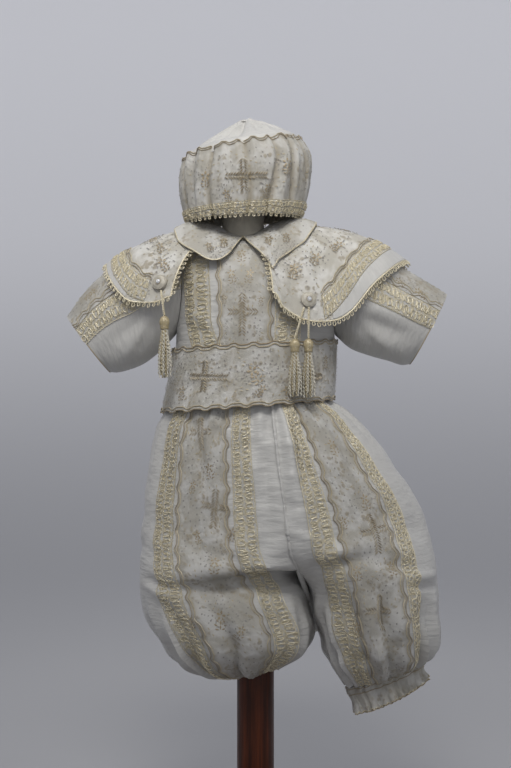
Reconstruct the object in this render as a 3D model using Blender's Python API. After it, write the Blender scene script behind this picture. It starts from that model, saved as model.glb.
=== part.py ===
"""Christening romper suit with capelets, belt and cap, worn by a limbless dress form on a wooden post.

Every table below is in millimetres and degrees, and MM turns it into metres when a mesh is made.
+Z is up, -Y is the front, and left and right are the wearer's, so the wearer's right is at -X.
The origin is on the post's axis, on the underside of the base.
"""

import bpy
import numpy as np

MM = 0.001

# Walls and clearances
SATIN = 1.2
LACE = 1.0
BRAID = 1.2
GAP = 0.3

# Stand
BASE_RADIUS, BASE_HEIGHT, BASE_EDGE = 125.0, 22.0, 5.0
POLE_RADIUS = 18.5
POLE_TOP = 330.0
FORM_BASE = POLE_TOP + GAP
ROUND_SIDES = 32

# Neck of the garment: an upright ring that dips at the front
NECK_X, NECK_RADIUS = -12.0, 27.0
NECK_BACK_Z, NECK_DIP = 603.2, 14.2
BACK_DIP = 0.3  # how far the necklines dip behind, as a share of their dip in front

# Armhole: an upright oval on each side of the bodice
ARM_Z, ARM_HALF_HEIGHT, ARM_HALF_DEPTH = 541.0, 47.0, 30.0

# Dress form: z, x at the right side, x at the left side, depth to the front and back
FORM_TIP = 0.6
FORM = (
    (FORM_BASE, -52.0, 50.0, 40.0),
    (336.0, -62.0, 60.0, 48.0),
    (380.0, -69.0, 66.0, 54.0),
    (450.0, -72.0, 69.0, 56.0),
    (520.0, -73.0, 72.0, 57.0),
    (552.0, -75.0, 74.0, 52.0),
    (571.0, -73.5, 72.0, 42.0),
    (582.5, -64.0, 54.0, 28.5),
    (588.5, -48.0, 27.0, 24.5),
    (595.0, -37.2, 13.2, 23.8),
    (625.0, -34.0, 10.0, 22.0),
    (668.0, -31.0, 10.0, 20.5),
    (691.0, -26.0, 7.5, 16.0),
    (702.0, -19.0, 1.0, 9.5),
    (706.8, -13.0, -5.0, 4.0),
)

# Bodice: z at the sides, z at the front and back middle, x right, x left, depth
BODICE = (
    (453.0, 453.0, -84.0, 75.5, 62.0),
    (472.0, 472.0, -80.5, 77.0, 62.5),
    (486.0, 488.0, -79.5, 79.0, 63.0),
    (500.0, 505.0, -80.0, 80.0, 64.0),
    (518.0, 522.0, -81.0, 81.0, 64.0),
    (538.0, 540.0, -82.0, 82.0, 62.5),
    (558.0, 556.0, -84.0, 84.0, 58.0),
    (574.0, 569.0, -85.0, 85.0, 51.0),
    (587.0, 578.0, -84.0, 84.0, 42.0),
    (593.0, 583.0, -68.0, 58.0, 36.0),
    (598.0, 586.0, -52.0, 34.0, 31.0),
    (601.2, 587.0, -41.5, 17.5, 27.5),
)
BODICE_ARM_EDGE = 31.0  # degrees from the side seam that the armhole pushes aside
BODICE_FRONT_COLUMNS = (0, 15, 31, 43, 55, 60, 74, 88, 101, 103, 112, 120, 134, 149, 165, 180)
BODICE_BACK_COLUMNS = (0, 15, 31, 52, 72, 90, 108, 128, 149, 165, 180)
BODICE_TRIM_ROWS = (1, 9)
BODICE_LACE_COLUMNS = (5, 9)
BODICE_BRAID_COLUMNS = {"right": (2, 5), "left": (9, 12)}

# Sleeves: x and z of the upper edge, x and z of the under edge, depth to the front and back
SLEEVE_RIGHT = (
    (-106.0, 579.0, -96.0, 478.0, 42.0, 42.0),
    (-128.0, 567.0, -112.0, 466.0, 40.0, 40.0),
    (-151.0, 555.5, -127.0, 460.0, 36.0, 37.0),
    (-170.0, 537.0, -138.0, 457.5, 32.0, 34.0),
    (-187.5, 513.0, -145.5, 458.0, 28.0, 30.0),
)
SLEEVE_LEFT = (
    (106.0, 583.0, 96.0, 481.0, 42.0, 42.0),
    (128.0, 573.0, 115.0, 474.0, 40.5, 40.5),
    (149.0, 560.0, 133.0, 469.0, 38.0, 39.0),
    (168.0, 549.0, 146.0, 465.0, 34.0, 36.0),
    (190.5, 535.0, 154.5, 466.0, 29.0, 31.0),
)
SLEEVE_COLUMNS = (-62, -40, -20, 0, 20, 41, 62, 66, 78, 90, 112, 135, 158, 180, 205, 230, 256, 280)
SLEEVE_LACE_COLUMNS, SLEEVE_BRAID_COLUMNS = (0, 7), (7, 10)

# Legs: x and z of the outer side, x and z of the seam, half opening angle, depth front and back,
# slide of the trims towards the seam as a share of the width, and depth of the cross fold
LEG_RIGHT = (
    (-84.0, 452.4, 14.0, 452.4, 103.0, 62.0, 62.0, 0.0, 0.0),
    (-90.0, 419.5, 15.5, 425.0, 103.0, 68.5, 66.5, 0.0, 0.0),
    (-99.5, 399.0, 17.5, 403.0, 98.0, 73.0, 70.0, 0.0, 0.0),
    (-104.5, 375.0, 20.5, 377.0, 94.0, 76.0, 74.0, 0.0, 0.0),
    (-109.5, 343.0, 25.5, 343.0, 90.0, 79.0, 77.0, 0.0, 0.0),
    (-112.5, 312.0, 29.5, 312.0, 92.0, 80.0, 78.0, 0.0, 0.0),
    (-114.0, 286.0, 33.5, 286.0, 112.0, 80.0, 77.0, 0.0, 0.0),
    (-115.0, 271.0, 40.5, 268.0, 140.0, 81.0, 76.0, 0.0, 0.0),
    (-115.5, 260.0, 43.0, 261.0, 168.0, 80.0, 75.0, 0.02, 9.0),
    (-115.5, 250.0, 46.0, 257.0, 179.8, 77.0, 75.0, 0.04, 11.0),
    (-114.5, 234.0, 51.0, 238.0, 179.8, 76.0, 74.0, 0.06, 0.0),
    (-110.5, 217.0, 55.0, 220.0, 179.8, 77.0, 73.0, 0.09, 0.0),
    (-103.5, 203.0, 58.5, 206.0, 179.8, 75.0, 71.0, 0.10, 0.0),
    (-92.0, 187.0, 56.0, 191.0, 179.8, 69.0, 66.0, 0.10, 0.0),
    (-78.0, 171.0, 45.0, 180.0, 179.8, 57.0, 55.0, 0.10, 0.0),
    (-60.0, 160.0, 32.0, 171.0, 179.8, 43.0, 42.0, 0.10, 0.0),
    (-38.0, 156.0, 24.0, 165.0, 179.8, 30.0, 29.0, 0.08, 0.0),
)
LEG_LEFT = (
    (73.0, 452.4, 14.6, 452.4, 76.0, 62.0, 62.0, 0.0, 0.0),
    (72.5, 432.0, 16.1, 427.0, 76.0, 68.5, 66.5, 0.0, 0.0),
    (91.0, 419.5, 18.1, 411.0, 79.0, 71.5, 69.0, 0.0, 0.0),
    (121.5, 388.0, 21.0, 381.0, 85.0, 76.0, 74.0, 0.0, 0.0),
    (140.5, 361.0, 24.0, 355.0, 90.0, 78.0, 76.0, 0.0, 0.0),
    (157.5, 337.0, 27.6, 330.0, 90.0, 80.0, 78.0, 0.0, 0.0),
    (168.5, 314.0, 30.6, 306.0, 92.0, 80.5, 78.0, 0.0, 0.0),
    (176.0, 287.0, 34.2, 285.0, 112.0, 80.0, 77.0, 0.0, 0.0),
    (180.5, 262.0, 43.6, 268.0, 138.0, 79.0, 76.0, 0.0, 0.0),
    (182.0, 240.0, 50.5, 250.0, 162.0, 76.0, 75.0, 0.0, 0.0),
    (182.5, 218.0, 56.0, 226.0, 179.8, 72.0, 71.0, 0.0, 0.0),
    (182.5, 198.0, 63.5, 198.0, 179.8, 67.0, 66.0, 0.0, 0.0),
    (181.0, 186.0, 72.0, 177.0, 179.8, 59.0, 58.0, 0.0, 0.0),
    (177.5, 178.0, 80.0, 161.0, 179.8, 49.0, 48.0, 0.0, 0.0),
    (170.0, 173.0, 90.0, 145.0, 179.8, 36.0, 35.0, 0.0, 0.0),
)
# Shares of the width from the outer side to the seam, listed from the seam round the front,
# then from the outer side round the back
LEG_RIGHT_FRONT = (1.0, 0.97, 0.9, 0.8, 0.73, 0.66, 0.62, 0.5, 0.38, 0.26, 0.23, 0.17, 0.11, 0.045, 0.01)
LEG_LEFT_FRONT = (1.0, 0.97, 0.92, 0.85, 0.775, 0.70, 0.66, 0.54, 0.42, 0.30, 0.27, 0.225, 0.18, 0.09, 0.025)
LEG_BACK = (0.0, 0.04, 0.15, 0.32, 0.5, 0.7, 0.87, 0.97, 1.0)
LEG_INNER_BRAID, LEG_LACE, LEG_OUTER_BRAID = (3, 6), (6, 10), (10, 13)
LEG_TRIM_TOP = 1
FOLD_MIDDLE, FOLD_WIDTH = 0.72, 0.62  # where across the front the cross fold is deepest, and its reach

# Cuffs, the same columns as the sleeves: x and z of the outer end, x and z of the inner end, depths
CUFF_LEFT = (
    (169.3, 172.2, 90.8, 143.6, 33.0, 32.0),
    (168.5, 166.5, 93.0, 136.0, 27.0, 26.0),
    (168.5, 161.0, 96.5, 130.0, 29.0, 28.0),
    (172.5, 152.5, 101.5, 118.0, 33.0, 32.0),
)
CUFF_RIGHT = (
    (-32.0, 156.5, 23.0, 164.6, 26.0, 26.0),
    (-25.0, 160.0, 21.8, 167.0, 22.6, 22.6),
    (-22.0, 172.0, 21.4, 176.0, 21.6, 21.6),
)
CUFF_COLUMNS = tuple(range(0, 360, 20))

# Belt: x and z of the right end, x and z of the left end, depth to the front and back
BELT = (
    (-82.5, 481.5, 81.3, 490.5, 68.0, 66.5),
    (-87.5, 450.0, 80.5, 460.0, 70.0, 68.5),
    (-94.0, 417.0, 78.5, 430.0, 76.5, 74.0),
)
BELT_COLUMNS = tuple(range(0, 360, 12))

# Cap: x and z of the right side, x and z of the left side, depth to the front and back
HAT_BAND = (
    (-71.5, 672.0, 44.0, 693.0, 54.0, 54.0),
    (-75.0, 659.0, 53.0, 679.0, 59.0, 58.0),
    (-75.5, 635.0, 54.5, 650.0, 61.0, 60.0),
    (-72.0, 618.0, 50.0, 627.0, 59.0, 58.0),
    (-68.5, 608.0, 45.0, 613.0, 56.0, 56.0),
)
HAT_CROWN_SIZES = (1.012, 0.99, 0.75, 0.5, 0.28, 0.1)  # shares of the band's upper ring
HAT_CROWN_RISE = (-0.2, 0.02, 0.28, 0.52, 0.74, 0.95)  # shares of the way up to the apex
HAT_APEX = (-9.0, 0.0, 710.6)
HAT_COLUMNS = tuple(range(0, 360, 12))
HAT_EDGING_ROWS = (3, 5)

# Shoulder cape: direction from the neck, then x, y and z of the hem, then how far out and how far
# down the bend of the profile lies, as shares of the way from the neck to the hem
CAPE = (
    (-180, -12.0, 74.0, 520.0, 0.85, 0.12),
    (-150, -52.0, 70.0, 520.0, 0.82, 0.10),
    (-125, -92.0, 58.0, 524.0, 0.78, 0.06),
    (-105, -132.0, 46.0, 545.0, 0.70, 0.02),
    (-97, -145.0, 26.0, 557.0, 0.65, 0.04),
    (-90, -149.0, 3.0, 566.0, 0.60, 0.10),
    (-82, -145.5, -25.0, 554.0, 0.66, 0.04),
    (-74, -137.5, -40.0, 541.0, 0.72, 0.02),
    (-66, -125.0, -49.0, 528.0, 0.76, 0.02),
    (-57, -111.0, -52.0, 525.0, 0.79, 0.08),
    (-49, -96.0, -58.0, 525.0, 0.82, 0.10),
    (-40, -81.0, -64.0, 530.0, 0.85, 0.12),
    (-20, -45.0, -71.0, 520.0, 0.86, 0.14),
    (0, -12.0, -74.0, 515.0, 0.86, 0.15),
    (15, 16.6, -75.0, 533.0, 0.88, 0.14),
    (28, 27.0, -75.0, 519.0, 0.86, 0.12),
    (42, 49.0, -71.0, 507.0, 0.84, 0.10),
    (52, 68.0, -66.0, 506.0, 0.83, 0.06),
    (60, 81.5, -61.0, 509.0, 0.81, 0.04),
    (67, 94.0, -56.0, 518.0, 0.79, 0.0),
    (76, 114.5, -49.0, 543.0, 0.74, -0.04),
    (84, 137.0, -34.0, 562.0, 0.68, -0.14),
    (91, 151.5, 4.0, 569.5, 0.62, -0.24),
    (98, 147.0, 28.0, 560.0, 0.66, -0.16),
    (105, 133.0, 47.0, 548.0, 0.70, -0.08),
    (125, 88.0, 60.0, 524.0, 0.78, 0.03),
    (150, 38.0, 72.0, 520.0, 0.82, 0.10),
    (180, -12.0, 74.0, 520.0, 0.85, 0.12),
)
CAPE_STEPS = (0.0, 0.12, 0.25, 0.4, 0.56, 0.76, 0.93, 1.0)
CAPE_BRAID_STEPS = (5, 7)
CAPE_BRAID_SPANS = {"right": (-126, -57), "left": (52, 126)}
CAPE_RIGHT_END, CAPE_LEFT_START = -40, 15
EDGING_REACH = 4.0

# A point inside each cloth, from which its outer side is told; the sleeves' x is the wearer's left one's
BODICE_INSIDE = (0.0, 0.0, 500.0)
SLEEVE_INSIDE = (120.0, 0.0, 520.0)
LEG_INSIDE = {"right": (-30.0, 0.0, 300.0), "left": (100.0, 0.0, 290.0)}
CUFF_INSIDE = {"right": (0.0, 0.0, 162.0), "left": (130.0, 0.0, 150.0)}
CAPE_INSIDE = (0.0, 0.0, 540.0)
BELT_INSIDE = (0.0, 0.0, 450.0)
HAT_INSIDE_Z = 640.0

# Collar: direction at the neck, direction at the outer edge, reach down the cape
COLLAR_RIGHT = (
    (-1.0, -12.0, 0.44),
    (-8.0, -18.0, 0.54),
    (-18.0, -26.0, 0.56),
    (-32.0, -38.0, 0.50),
    (-50.0, -53.0, 0.42),
    (-68.0, -69.0, 0.34),
    (-90.0, -90.0, 0.27),
    (-112.0, -112.0, 0.34),
    (-140.0, -140.0, 0.44),
    (-160.0, -160.0, 0.48),
    (-179.0, -179.0, 0.48),
)
COLLAR_LEFT = (
    (1.0, 17.0, 0.74),
    (10.0, 22.0, 0.66),
    (22.0, 32.0, 0.54),
    (38.0, 44.0, 0.45),
    (54.0, 57.0, 0.40),
    (72.0, 73.0, 0.34),
    (92.0, 92.0, 0.28),
    (112.0, 112.0, 0.34),
    (140.0, 140.0, 0.44),
    (160.0, 160.0, 0.48),
    (179.0, 179.0, 0.48),
)
COLLAR_STEPS = (0.0, 0.2, 0.45, 0.72, 1.0)
COLLAR_LIFT, COLLAR_ROLL = 2.6, 5.0

# Buttons: direction from the neck and reach down the cape
BUTTON_RIGHT, BUTTON_LEFT = (-49.0, 0.85), (44.0, 0.87)
BUTTON_PROFILE = ((7.5, 0.0), (7.5, 1.6), (6.6, 3.0), (4.6, 4.0), (2.3, 4.3))
STONE_PROFILE = ((2.2, 0.0), (2.0, 0.8), (1.2, 1.6))
BUTTON_LIFT = 0.6

# Tassels: x, y and z of the top, then the length; the profile is radius against share of the length
TASSELS = {
    "right": ((-87.0, -66.0, 511.0), 59.0),
    "left_inner": ((37.5, -73.0, 489.0), 55.0),
    "left_outer": ((50.5, -69.0, 489.0), 56.0),
}
TASSEL_PROFILE = ((2.4, 0.0), (4.2, 0.06), (4.6, 0.14), (3.6, 0.2), (5.4, 0.32), (6.3, 0.65), (6.6, 1.0))
TASSEL_SIDES = 14
CORD_RADIUS = 1.3
CORD_LIFT = 3.0  # off the cape, under the button
CORD_LEAN = 0.35  # share of the way sideways that the cord has gone where it leaves the button
CORD_START = (-1.4, -9.4)
CORD_CLEAR = 0.5
CORD_BOW = -3.0
CORD_STEPS = 7
BUTTON_SIDES, STONE_SIDES = 20, 10
CAPE_PROBE = (0.02, 2)  # small steps down and round the cape, for its normal
CORD_SIDES = 2


def material(name, colour, roughness, metallic=0.0):
    """A plain finish, made once and shared by every piece of it."""
    found = bpy.data.materials.get(name)
    if found:
        return found
    made = bpy.data.materials.new(name)
    made.use_nodes = True
    shader = made.node_tree.nodes["Principled BSDF"]
    shader.inputs["Base Color"].default_value = (*colour, 1.0)
    shader.inputs["Roughness"].default_value = roughness
    shader.inputs["Metallic"].default_value = metallic
    return made


def satin():
    return material("ivory_satin", (0.78, 0.77, 0.73), 0.42)


def lace():
    return material("cream_lace", (0.72, 0.67, 0.60), 0.75)


def braid():
    return material("gold_braid", (0.70, 0.60, 0.40), 0.55)


def wood():
    return material("stained_wood", (0.16, 0.06, 0.025), 0.35)


def form_cloth():
    return material("form_cover", (0.36, 0.35, 0.32), 0.8)


def stone():
    return material("clear_stone", (0.85, 0.88, 0.92), 0.05)


def add_object(name, points, faces, finish, smooth=True):
    """A mesh object from points in millimetres, turned inside out where its volume says so."""
    points = np.asarray(points, float) * MM
    faces = np.asarray(faces)
    corners = points[faces]
    if np.einsum("ij,ij->i", corners[:, 0], np.cross(corners[:, 1], corners[:, 2])).sum() < 0:
        faces = faces[:, ::-1]
    mesh = bpy.data.meshes.new(name)
    mesh.from_pydata(points.tolist(), [], faces.tolist())
    mesh.materials.append(finish)
    if smooth:
        mesh.shade_smooth()
        mesh.set_sharp_from_angle(angle=np.radians(50))
    made = bpy.data.objects.new(name, mesh)
    bpy.context.scene.collection.objects.link(made)
    return made


def normals(grid, wrap):
    """Unit normals of a grid of points, from the differences along its rows and columns."""
    if wrap:
        along = np.roll(grid, -1, axis=1) - np.roll(grid, 1, axis=1)
    else:
        along = np.gradient(grid, axis=1)
    across = np.gradient(grid, axis=0)
    found = np.cross(along, across)
    return found / np.maximum(np.linalg.norm(found, axis=2, keepdims=True), 1e-9)


def outward(grid, wrap, inside):
    """The grid's normals, turned away from a point inside the garment."""
    found = normals(grid, wrap)
    away = ((grid - np.asarray(inside)) * found).sum()
    return found if away > 0 else -found


def quads(rows, columns, wrap, start):
    """Corner numbers of the grid's cells, each cut into two triangles along the same diagonal."""
    row = np.arange(rows - 1)[:, None] * columns
    column = np.arange(columns if wrap else columns - 1)[None, :]
    following = (column + 1) % columns
    a, b = (row + column).ravel(), (row + following).ravel()
    c, d = (row + columns + following).ravel(), (row + columns + column).ravel()
    return start + np.concatenate([np.stack([a, b, c], 1), np.stack([a, c, d], 1)])


def strip(first, second):
    """Triangles between two lists of corner numbers of one length."""
    a, b, c, d = first[:-1], first[1:], second[1:], second[:-1]
    return np.concatenate([np.stack([a, b, c], 1), np.stack([a, c, d], 1)])


def slab(name, low, high, wrap, finish, peak=False):
    """The closed solid between two grids; peak closes the last rows over a point each."""
    rows, columns = low.shape[:2]
    count = rows * columns
    points = [low.reshape(-1, 3), high.reshape(-1, 3)]
    numbers = np.arange(count).reshape(rows, columns)
    if wrap:
        numbers = np.concatenate([numbers, numbers[:, :1]], axis=1)
    faces = [quads(rows, columns, wrap, 0)[:, ::-1], quads(rows, columns, wrap, count)]
    faces.append(strip(numbers[0], numbers[0] + count))
    if peak:
        points += [low[-1].mean(axis=0)[None], high[-1].mean(axis=0)[None]]
        for layer in (0, 1):
            edge = numbers[-1] + layer * count
            tip = np.full(len(edge) - 1, 2 * count + layer)
            fan = np.stack([edge[:-1], edge[1:], tip], 1)
            faces.append(fan if layer else fan[:, ::-1])
    else:
        faces.append(strip(numbers[-1] + count, numbers[-1]))
    if not wrap:
        faces.append(strip(numbers[:, 0] + count, numbers[:, 0]))
        faces.append(strip(numbers[:, -1], numbers[:, -1] + count))
    return add_object(name, np.concatenate(points), np.concatenate(faces), finish)


def wall(name, grid, wrap, inside, thickness, finish, peak=False):
    """A cloth wall whose outer face is the grid."""
    out = outward(grid, wrap, inside)
    return slab(name, grid - out * thickness, grid, wrap, finish, peak)


def trim(name, grid, wrap, inside, rows, columns, thickness, finish, lift=GAP):
    """A strip that lies on part of a panel, made from the panel's own points moved out."""
    out = outward(grid, wrap, inside)
    part = np.s_[rows[0] : rows[1], columns[0] : columns[1]]
    low = grid[part] + out[part] * lift
    return slab(name, low, low + out[part] * thickness, False, finish)


def turned(name, profile, sides, centre, axis, finish):
    """A solid turned from radius and height pairs, standing at a point along an axis."""
    axis = np.asarray(axis, float) / np.linalg.norm(axis)
    aside = np.cross(axis, (0.0, 0.0, 1.0) if abs(axis[2]) < 0.9 else (0.0, 1.0, 0.0))
    aside /= np.linalg.norm(aside)
    third = np.cross(axis, aside)
    angles = np.linspace(0, 2 * np.pi, sides, endpoint=False)
    ring = np.cos(angles)[:, None] * aside + np.sin(angles)[:, None] * third
    points = [np.asarray(centre) + axis * height + ring * radius for radius, height in profile]
    ends = [np.asarray(centre) + axis * profile[k][1] for k in (0, -1)]
    faces = [quads(len(profile), sides, True, 0)]
    for number, row in ((0, 0), (1, len(profile) - 1)):
        edge = row * sides + np.arange(sides)
        tip = np.full(sides, len(profile) * sides + number)
        fan = np.stack([edge, np.roll(edge, -1), tip], 1)
        faces.append(fan[:, ::-1] if row == 0 else fan)
    return add_object(name, np.concatenate([*points, ends]), np.concatenate(faces), finish)


def upright_rings(table, sides):
    """Level rings from z, x right, x left and depth."""
    angles = np.linspace(0, 2 * np.pi, sides, endpoint=False)
    rings = []
    for z, right, left, depth in table:
        x = (right + left) / 2 + (left - right) / 2 * np.cos(angles)
        rings.append(np.stack([x, depth * np.sin(angles), np.full(sides, z)], 1))
    return np.array(rings)


def tilted_rings(table, columns):
    """Rings through two end points, at 0 and 180 degrees, bulging to the front at 90."""
    angles = np.radians(columns)
    rings = []
    for x0, z0, x1, z1, front, back in table:
        share = (1 - np.cos(angles)) / 2
        depth = np.where(np.sin(angles) > 0, front, back) * -np.sin(angles)
        rings.append(np.stack([x0 + (x1 - x0) * share, depth, z0 + (z1 - z0) * share], 1))
    return np.array(rings)


def bodice_rings(columns, side):
    """Half rings from the right side seam to the left one; side is -1 in front and 1 behind.

    The columns next to the seams step aside round the armholes.
    """
    columns = np.asarray(columns, float)
    rings = []
    for z_side, z_middle, right, left, depth in BODICE:
        half_open = max(1 - ((z_side - ARM_Z) / ARM_HALF_HEIGHT) ** 2, 0)
        edge = np.degrees(np.arcsin(ARM_HALF_DEPTH * half_open**0.5 / depth))
        squeeze = (BODICE_ARM_EDGE - edge) / BODICE_ARM_EDGE
        from_seam = np.minimum(columns, 180 - columns)
        moved = np.where(from_seam < BODICE_ARM_EDGE, edge + from_seam * squeeze, from_seam)
        angles = np.radians(np.where(columns < 90, moved, 180 - moved))
        x = (right + left) / 2 - (left - right) / 2 * np.cos(angles)
        y = side * (depth * np.sin(angles) + GAP)
        dip = (z_middle - z_side) * (BACK_DIP if side > 0 else 1.0)
        rings.append(np.stack([x, y, z_side + dip * np.sin(angles) ** 2], 1))
    return np.array(rings)


def armhole(columns, side):
    """The sleeve's first ring, just outside the bodice's armhole; side is -1 for the wearer's right."""
    angles = np.radians(columns)
    z = ARM_Z + (ARM_HALF_HEIGHT - GAP) * np.cos(angles)
    y = -(ARM_HALF_DEPTH - GAP) * np.sin(angles)
    levels, _, right, left, depth = np.array(BODICE[:9]).T
    middle = np.interp(z, levels, (left + right) / 2)
    half = np.interp(z, levels, (left - right) / 2)
    flat = np.sqrt(1 - (y / np.interp(z, levels, depth)) ** 2)
    return np.stack([middle + side * (half * flat + 2 * GAP), y, z], 1)


def leg_rings(table, front, back):
    """Rings of a leg from the front seam round the outer side to the back seam."""
    front_share, back_share = np.array(front), np.array(back)
    rings = []
    for x_out, z_out, x_seam, z_seam, spread, deep_front, deep_back, slide, fold in table:
        moved = front_share + slide * np.sqrt(np.sin(np.pi * front_share).clip(0))
        share = np.concatenate([moved, back_share])
        opening = 1 - np.cos(np.radians(spread))
        angles = np.arccos((1 - share * opening).clip(-1, 1))
        across = (x_seam - x_out) / opening
        x = x_out + across * (1 - np.cos(angles))
        z = z_out + (z_seam - z_out) * share
        y = np.sin(angles) * np.where(np.arange(len(share)) < len(front_share), -deep_front, deep_back)
        reach = (np.abs(share - FOLD_MIDDLE) / FOLD_WIDTH).clip(0, 1)
        dent = fold * np.cos(reach * np.pi / 2) ** 2 * (y < -1)
        rings.append(np.stack([x, y + dent, z], 1))
    return np.array(rings)


def neck_ring(directions):
    """The neckline: directions are degrees from the front towards the wearer's left."""
    turn = np.radians(directions)
    x = NECK_X + NECK_RADIUS * np.sin(turn)
    dip = NECK_DIP * np.where(np.cos(turn) > 0, 1.0, BACK_DIP) * np.cos(turn) ** 2
    z = NECK_BACK_Z - dip
    return np.stack([x, -NECK_RADIUS * np.cos(turn), z], -1)


def cape_point(directions, reach):
    """Points of the shoulder cape: a bent profile from the neckline to the hem in each direction."""
    table = np.array(CAPE, float)
    x, y, z, out, down = (np.interp(directions, table[:, 0], table[:, k]) for k in range(1, 6))
    neck = neck_ring(directions)
    hem = np.stack([x, y, z], -1)
    way = np.stack([out, out, down], -1)
    bend = neck + (hem - neck) * way
    t = np.asarray(reach)[..., None]
    return (1 - t) ** 2 * neck + 2 * t * (1 - t) * bend + t**2 * hem


def cape_grid(first, last):
    directions = np.array([row[0] for row in CAPE if first <= row[0] <= last], float)
    ends = {-180: GAP, 180: -GAP}
    directions += np.array([ends.get(int(d), 0.0) for d in directions])
    steps = np.array(CAPE_STEPS)[:, None]
    return cape_point(directions[None, :] + 0 * steps, steps + 0 * directions[None, :])


def collar_grid(table):
    at_neck, at_edge, reach = np.array(table).T
    steps = np.array(COLLAR_STEPS)[:, None]
    grid = cape_point(at_neck + (at_edge - at_neck) * steps, reach * steps)
    grid += outward(grid, False, (NECK_X, 0.0, CAPE_INSIDE[2])) * COLLAR_LIFT
    sideways = np.sin(np.radians(at_neck)) ** 2
    grid[..., 2] += COLLAR_ROLL * sideways * np.sin(np.pi * steps * 0.9)
    return grid


def make_stand():
    edge = BASE_EDGE
    profile = (
        (BASE_RADIUS - 1.0, 0.0),
        (BASE_RADIUS, 1.0),
        (BASE_RADIUS, BASE_HEIGHT - edge),
        (BASE_RADIUS - 0.3 * edge, BASE_HEIGHT - 0.3 * edge),
        (BASE_RADIUS - edge, BASE_HEIGHT),
    )
    turned("stand_base", profile, 2 * ROUND_SIDES, (0, 0, 0), (0, 0, 1), wood())
    pole = ((POLE_RADIUS, BASE_HEIGHT + GAP), (POLE_RADIUS, POLE_TOP))
    turned("stand_pole", pole, ROUND_SIDES, (0, 0, 0), (0, 0, 1), wood())


def make_form():
    rings = upright_rings(FORM, ROUND_SIDES)
    count = len(FORM) * ROUND_SIDES
    ends = [rings[0].mean(axis=0), rings[-1].mean(axis=0) + (0.0, 0.0, FORM_TIP)]
    edge = np.arange(ROUND_SIDES)
    low = np.stack([np.roll(edge, -1), edge, np.full(ROUND_SIDES, count)], 1)
    top = np.stack([edge, np.roll(edge, -1), np.full(ROUND_SIDES, count + 1)], 1)
    top[:, :2] += count - ROUND_SIDES
    faces = np.concatenate([quads(len(FORM), ROUND_SIDES, True, 0), low, top])
    add_object("dress_form", np.concatenate([rings.reshape(-1, 3), ends]), faces, form_cloth())


def make_bodice():
    inside = BODICE_INSIDE
    front = bodice_rings(BODICE_FRONT_COLUMNS, -1)
    wall("bodice_front", front, False, inside, SATIN, satin())
    wall("bodice_back", bodice_rings(BODICE_BACK_COLUMNS, 1), False, inside, SATIN, satin())
    trim("bodice_lace", front, False, inside, BODICE_TRIM_ROWS, BODICE_LACE_COLUMNS, LACE, lace())
    trim("bodice_braid_right", front, False, inside, BODICE_TRIM_ROWS, BODICE_BRAID_COLUMNS["right"], BRAID, braid())
    trim("bodice_braid_left", front, False, inside, BODICE_TRIM_ROWS, BODICE_BRAID_COLUMNS["left"], BRAID, braid())


def make_sleeves():
    for name, table, side in (("right", SLEEVE_RIGHT, -1), ("left", SLEEVE_LEFT, 1)):
        rings = np.concatenate([armhole(SLEEVE_COLUMNS, side)[None], tilted_rings(table, SLEEVE_COLUMNS)])
        inside = (side * SLEEVE_INSIDE[0], *SLEEVE_INSIDE[1:])
        wall("sleeve_" + name, rings, True, inside, SATIN, satin())
        rows = (0, len(rings))
        trim("sleeve_lace_" + name, rings, True, inside, rows, SLEEVE_LACE_COLUMNS, LACE, lace())
        trim("sleeve_braid_" + name, rings, True, inside, rows, SLEEVE_BRAID_COLUMNS, BRAID, braid())


def make_legs():
    for name, table, front in (("right", LEG_RIGHT, LEG_RIGHT_FRONT), ("left", LEG_LEFT, LEG_LEFT_FRONT)):
        inside = LEG_INSIDE[name]
        rings = leg_rings(table, front, LEG_BACK)
        rows = (LEG_TRIM_TOP, len(rings))
        wall("leg_" + name, rings, False, inside, SATIN, satin())
        trim("leg_lace_" + name, rings, False, inside, rows, LEG_LACE, LACE, lace())
        trim("leg_braid_inner_" + name, rings, False, inside, rows, LEG_INNER_BRAID, BRAID, braid())
        trim("leg_braid_outer_" + name, rings, False, inside, rows, LEG_OUTER_BRAID, BRAID, braid())
    wall("leg_cuff_left", tilted_rings(CUFF_LEFT, CUFF_COLUMNS), True, CUFF_INSIDE["left"], SATIN, satin())
    wall("leg_cuff_right", tilted_rings(CUFF_RIGHT, CUFF_COLUMNS), True, CUFF_INSIDE["right"], LACE, satin())


def make_capes():
    inside = CAPE_INSIDE
    spans = (("right", -180, CAPE_RIGHT_END), ("left", CAPE_LEFT_START, 180))
    for name, first, last in spans:
        grid = cape_grid(first, last)
        wall("capelet_" + name, grid, False, inside, SATIN, satin())
        directions = np.array([row[0] for row in CAPE if first <= row[0] <= last])
        start, end = CAPE_BRAID_SPANS[name]
        columns = np.searchsorted(directions, (start, end + 1))
        trim("capelet_braid_" + name, grid, False, inside, CAPE_BRAID_STEPS, columns, BRAID, braid())
        out = outward(grid, False, inside)[-1]
        way = grid[-1] - grid[-2]
        way /= np.linalg.norm(way, axis=1, keepdims=True)
        edge = np.array([grid[-1] + way * GAP, grid[-1] + way * (GAP + EDGING_REACH)])
        slab("capelet_edging_" + name, edge - out * LACE, edge, False, lace())


def make_collar():
    for name, table in (("right", COLLAR_RIGHT), ("left", COLLAR_LEFT)):
        wall("collar_" + name, collar_grid(table), False, CAPE_INSIDE, SATIN, satin())


def make_belt():
    wall("belt", tilted_rings(BELT, BELT_COLUMNS), True, BELT_INSIDE, SATIN, lace())


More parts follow.
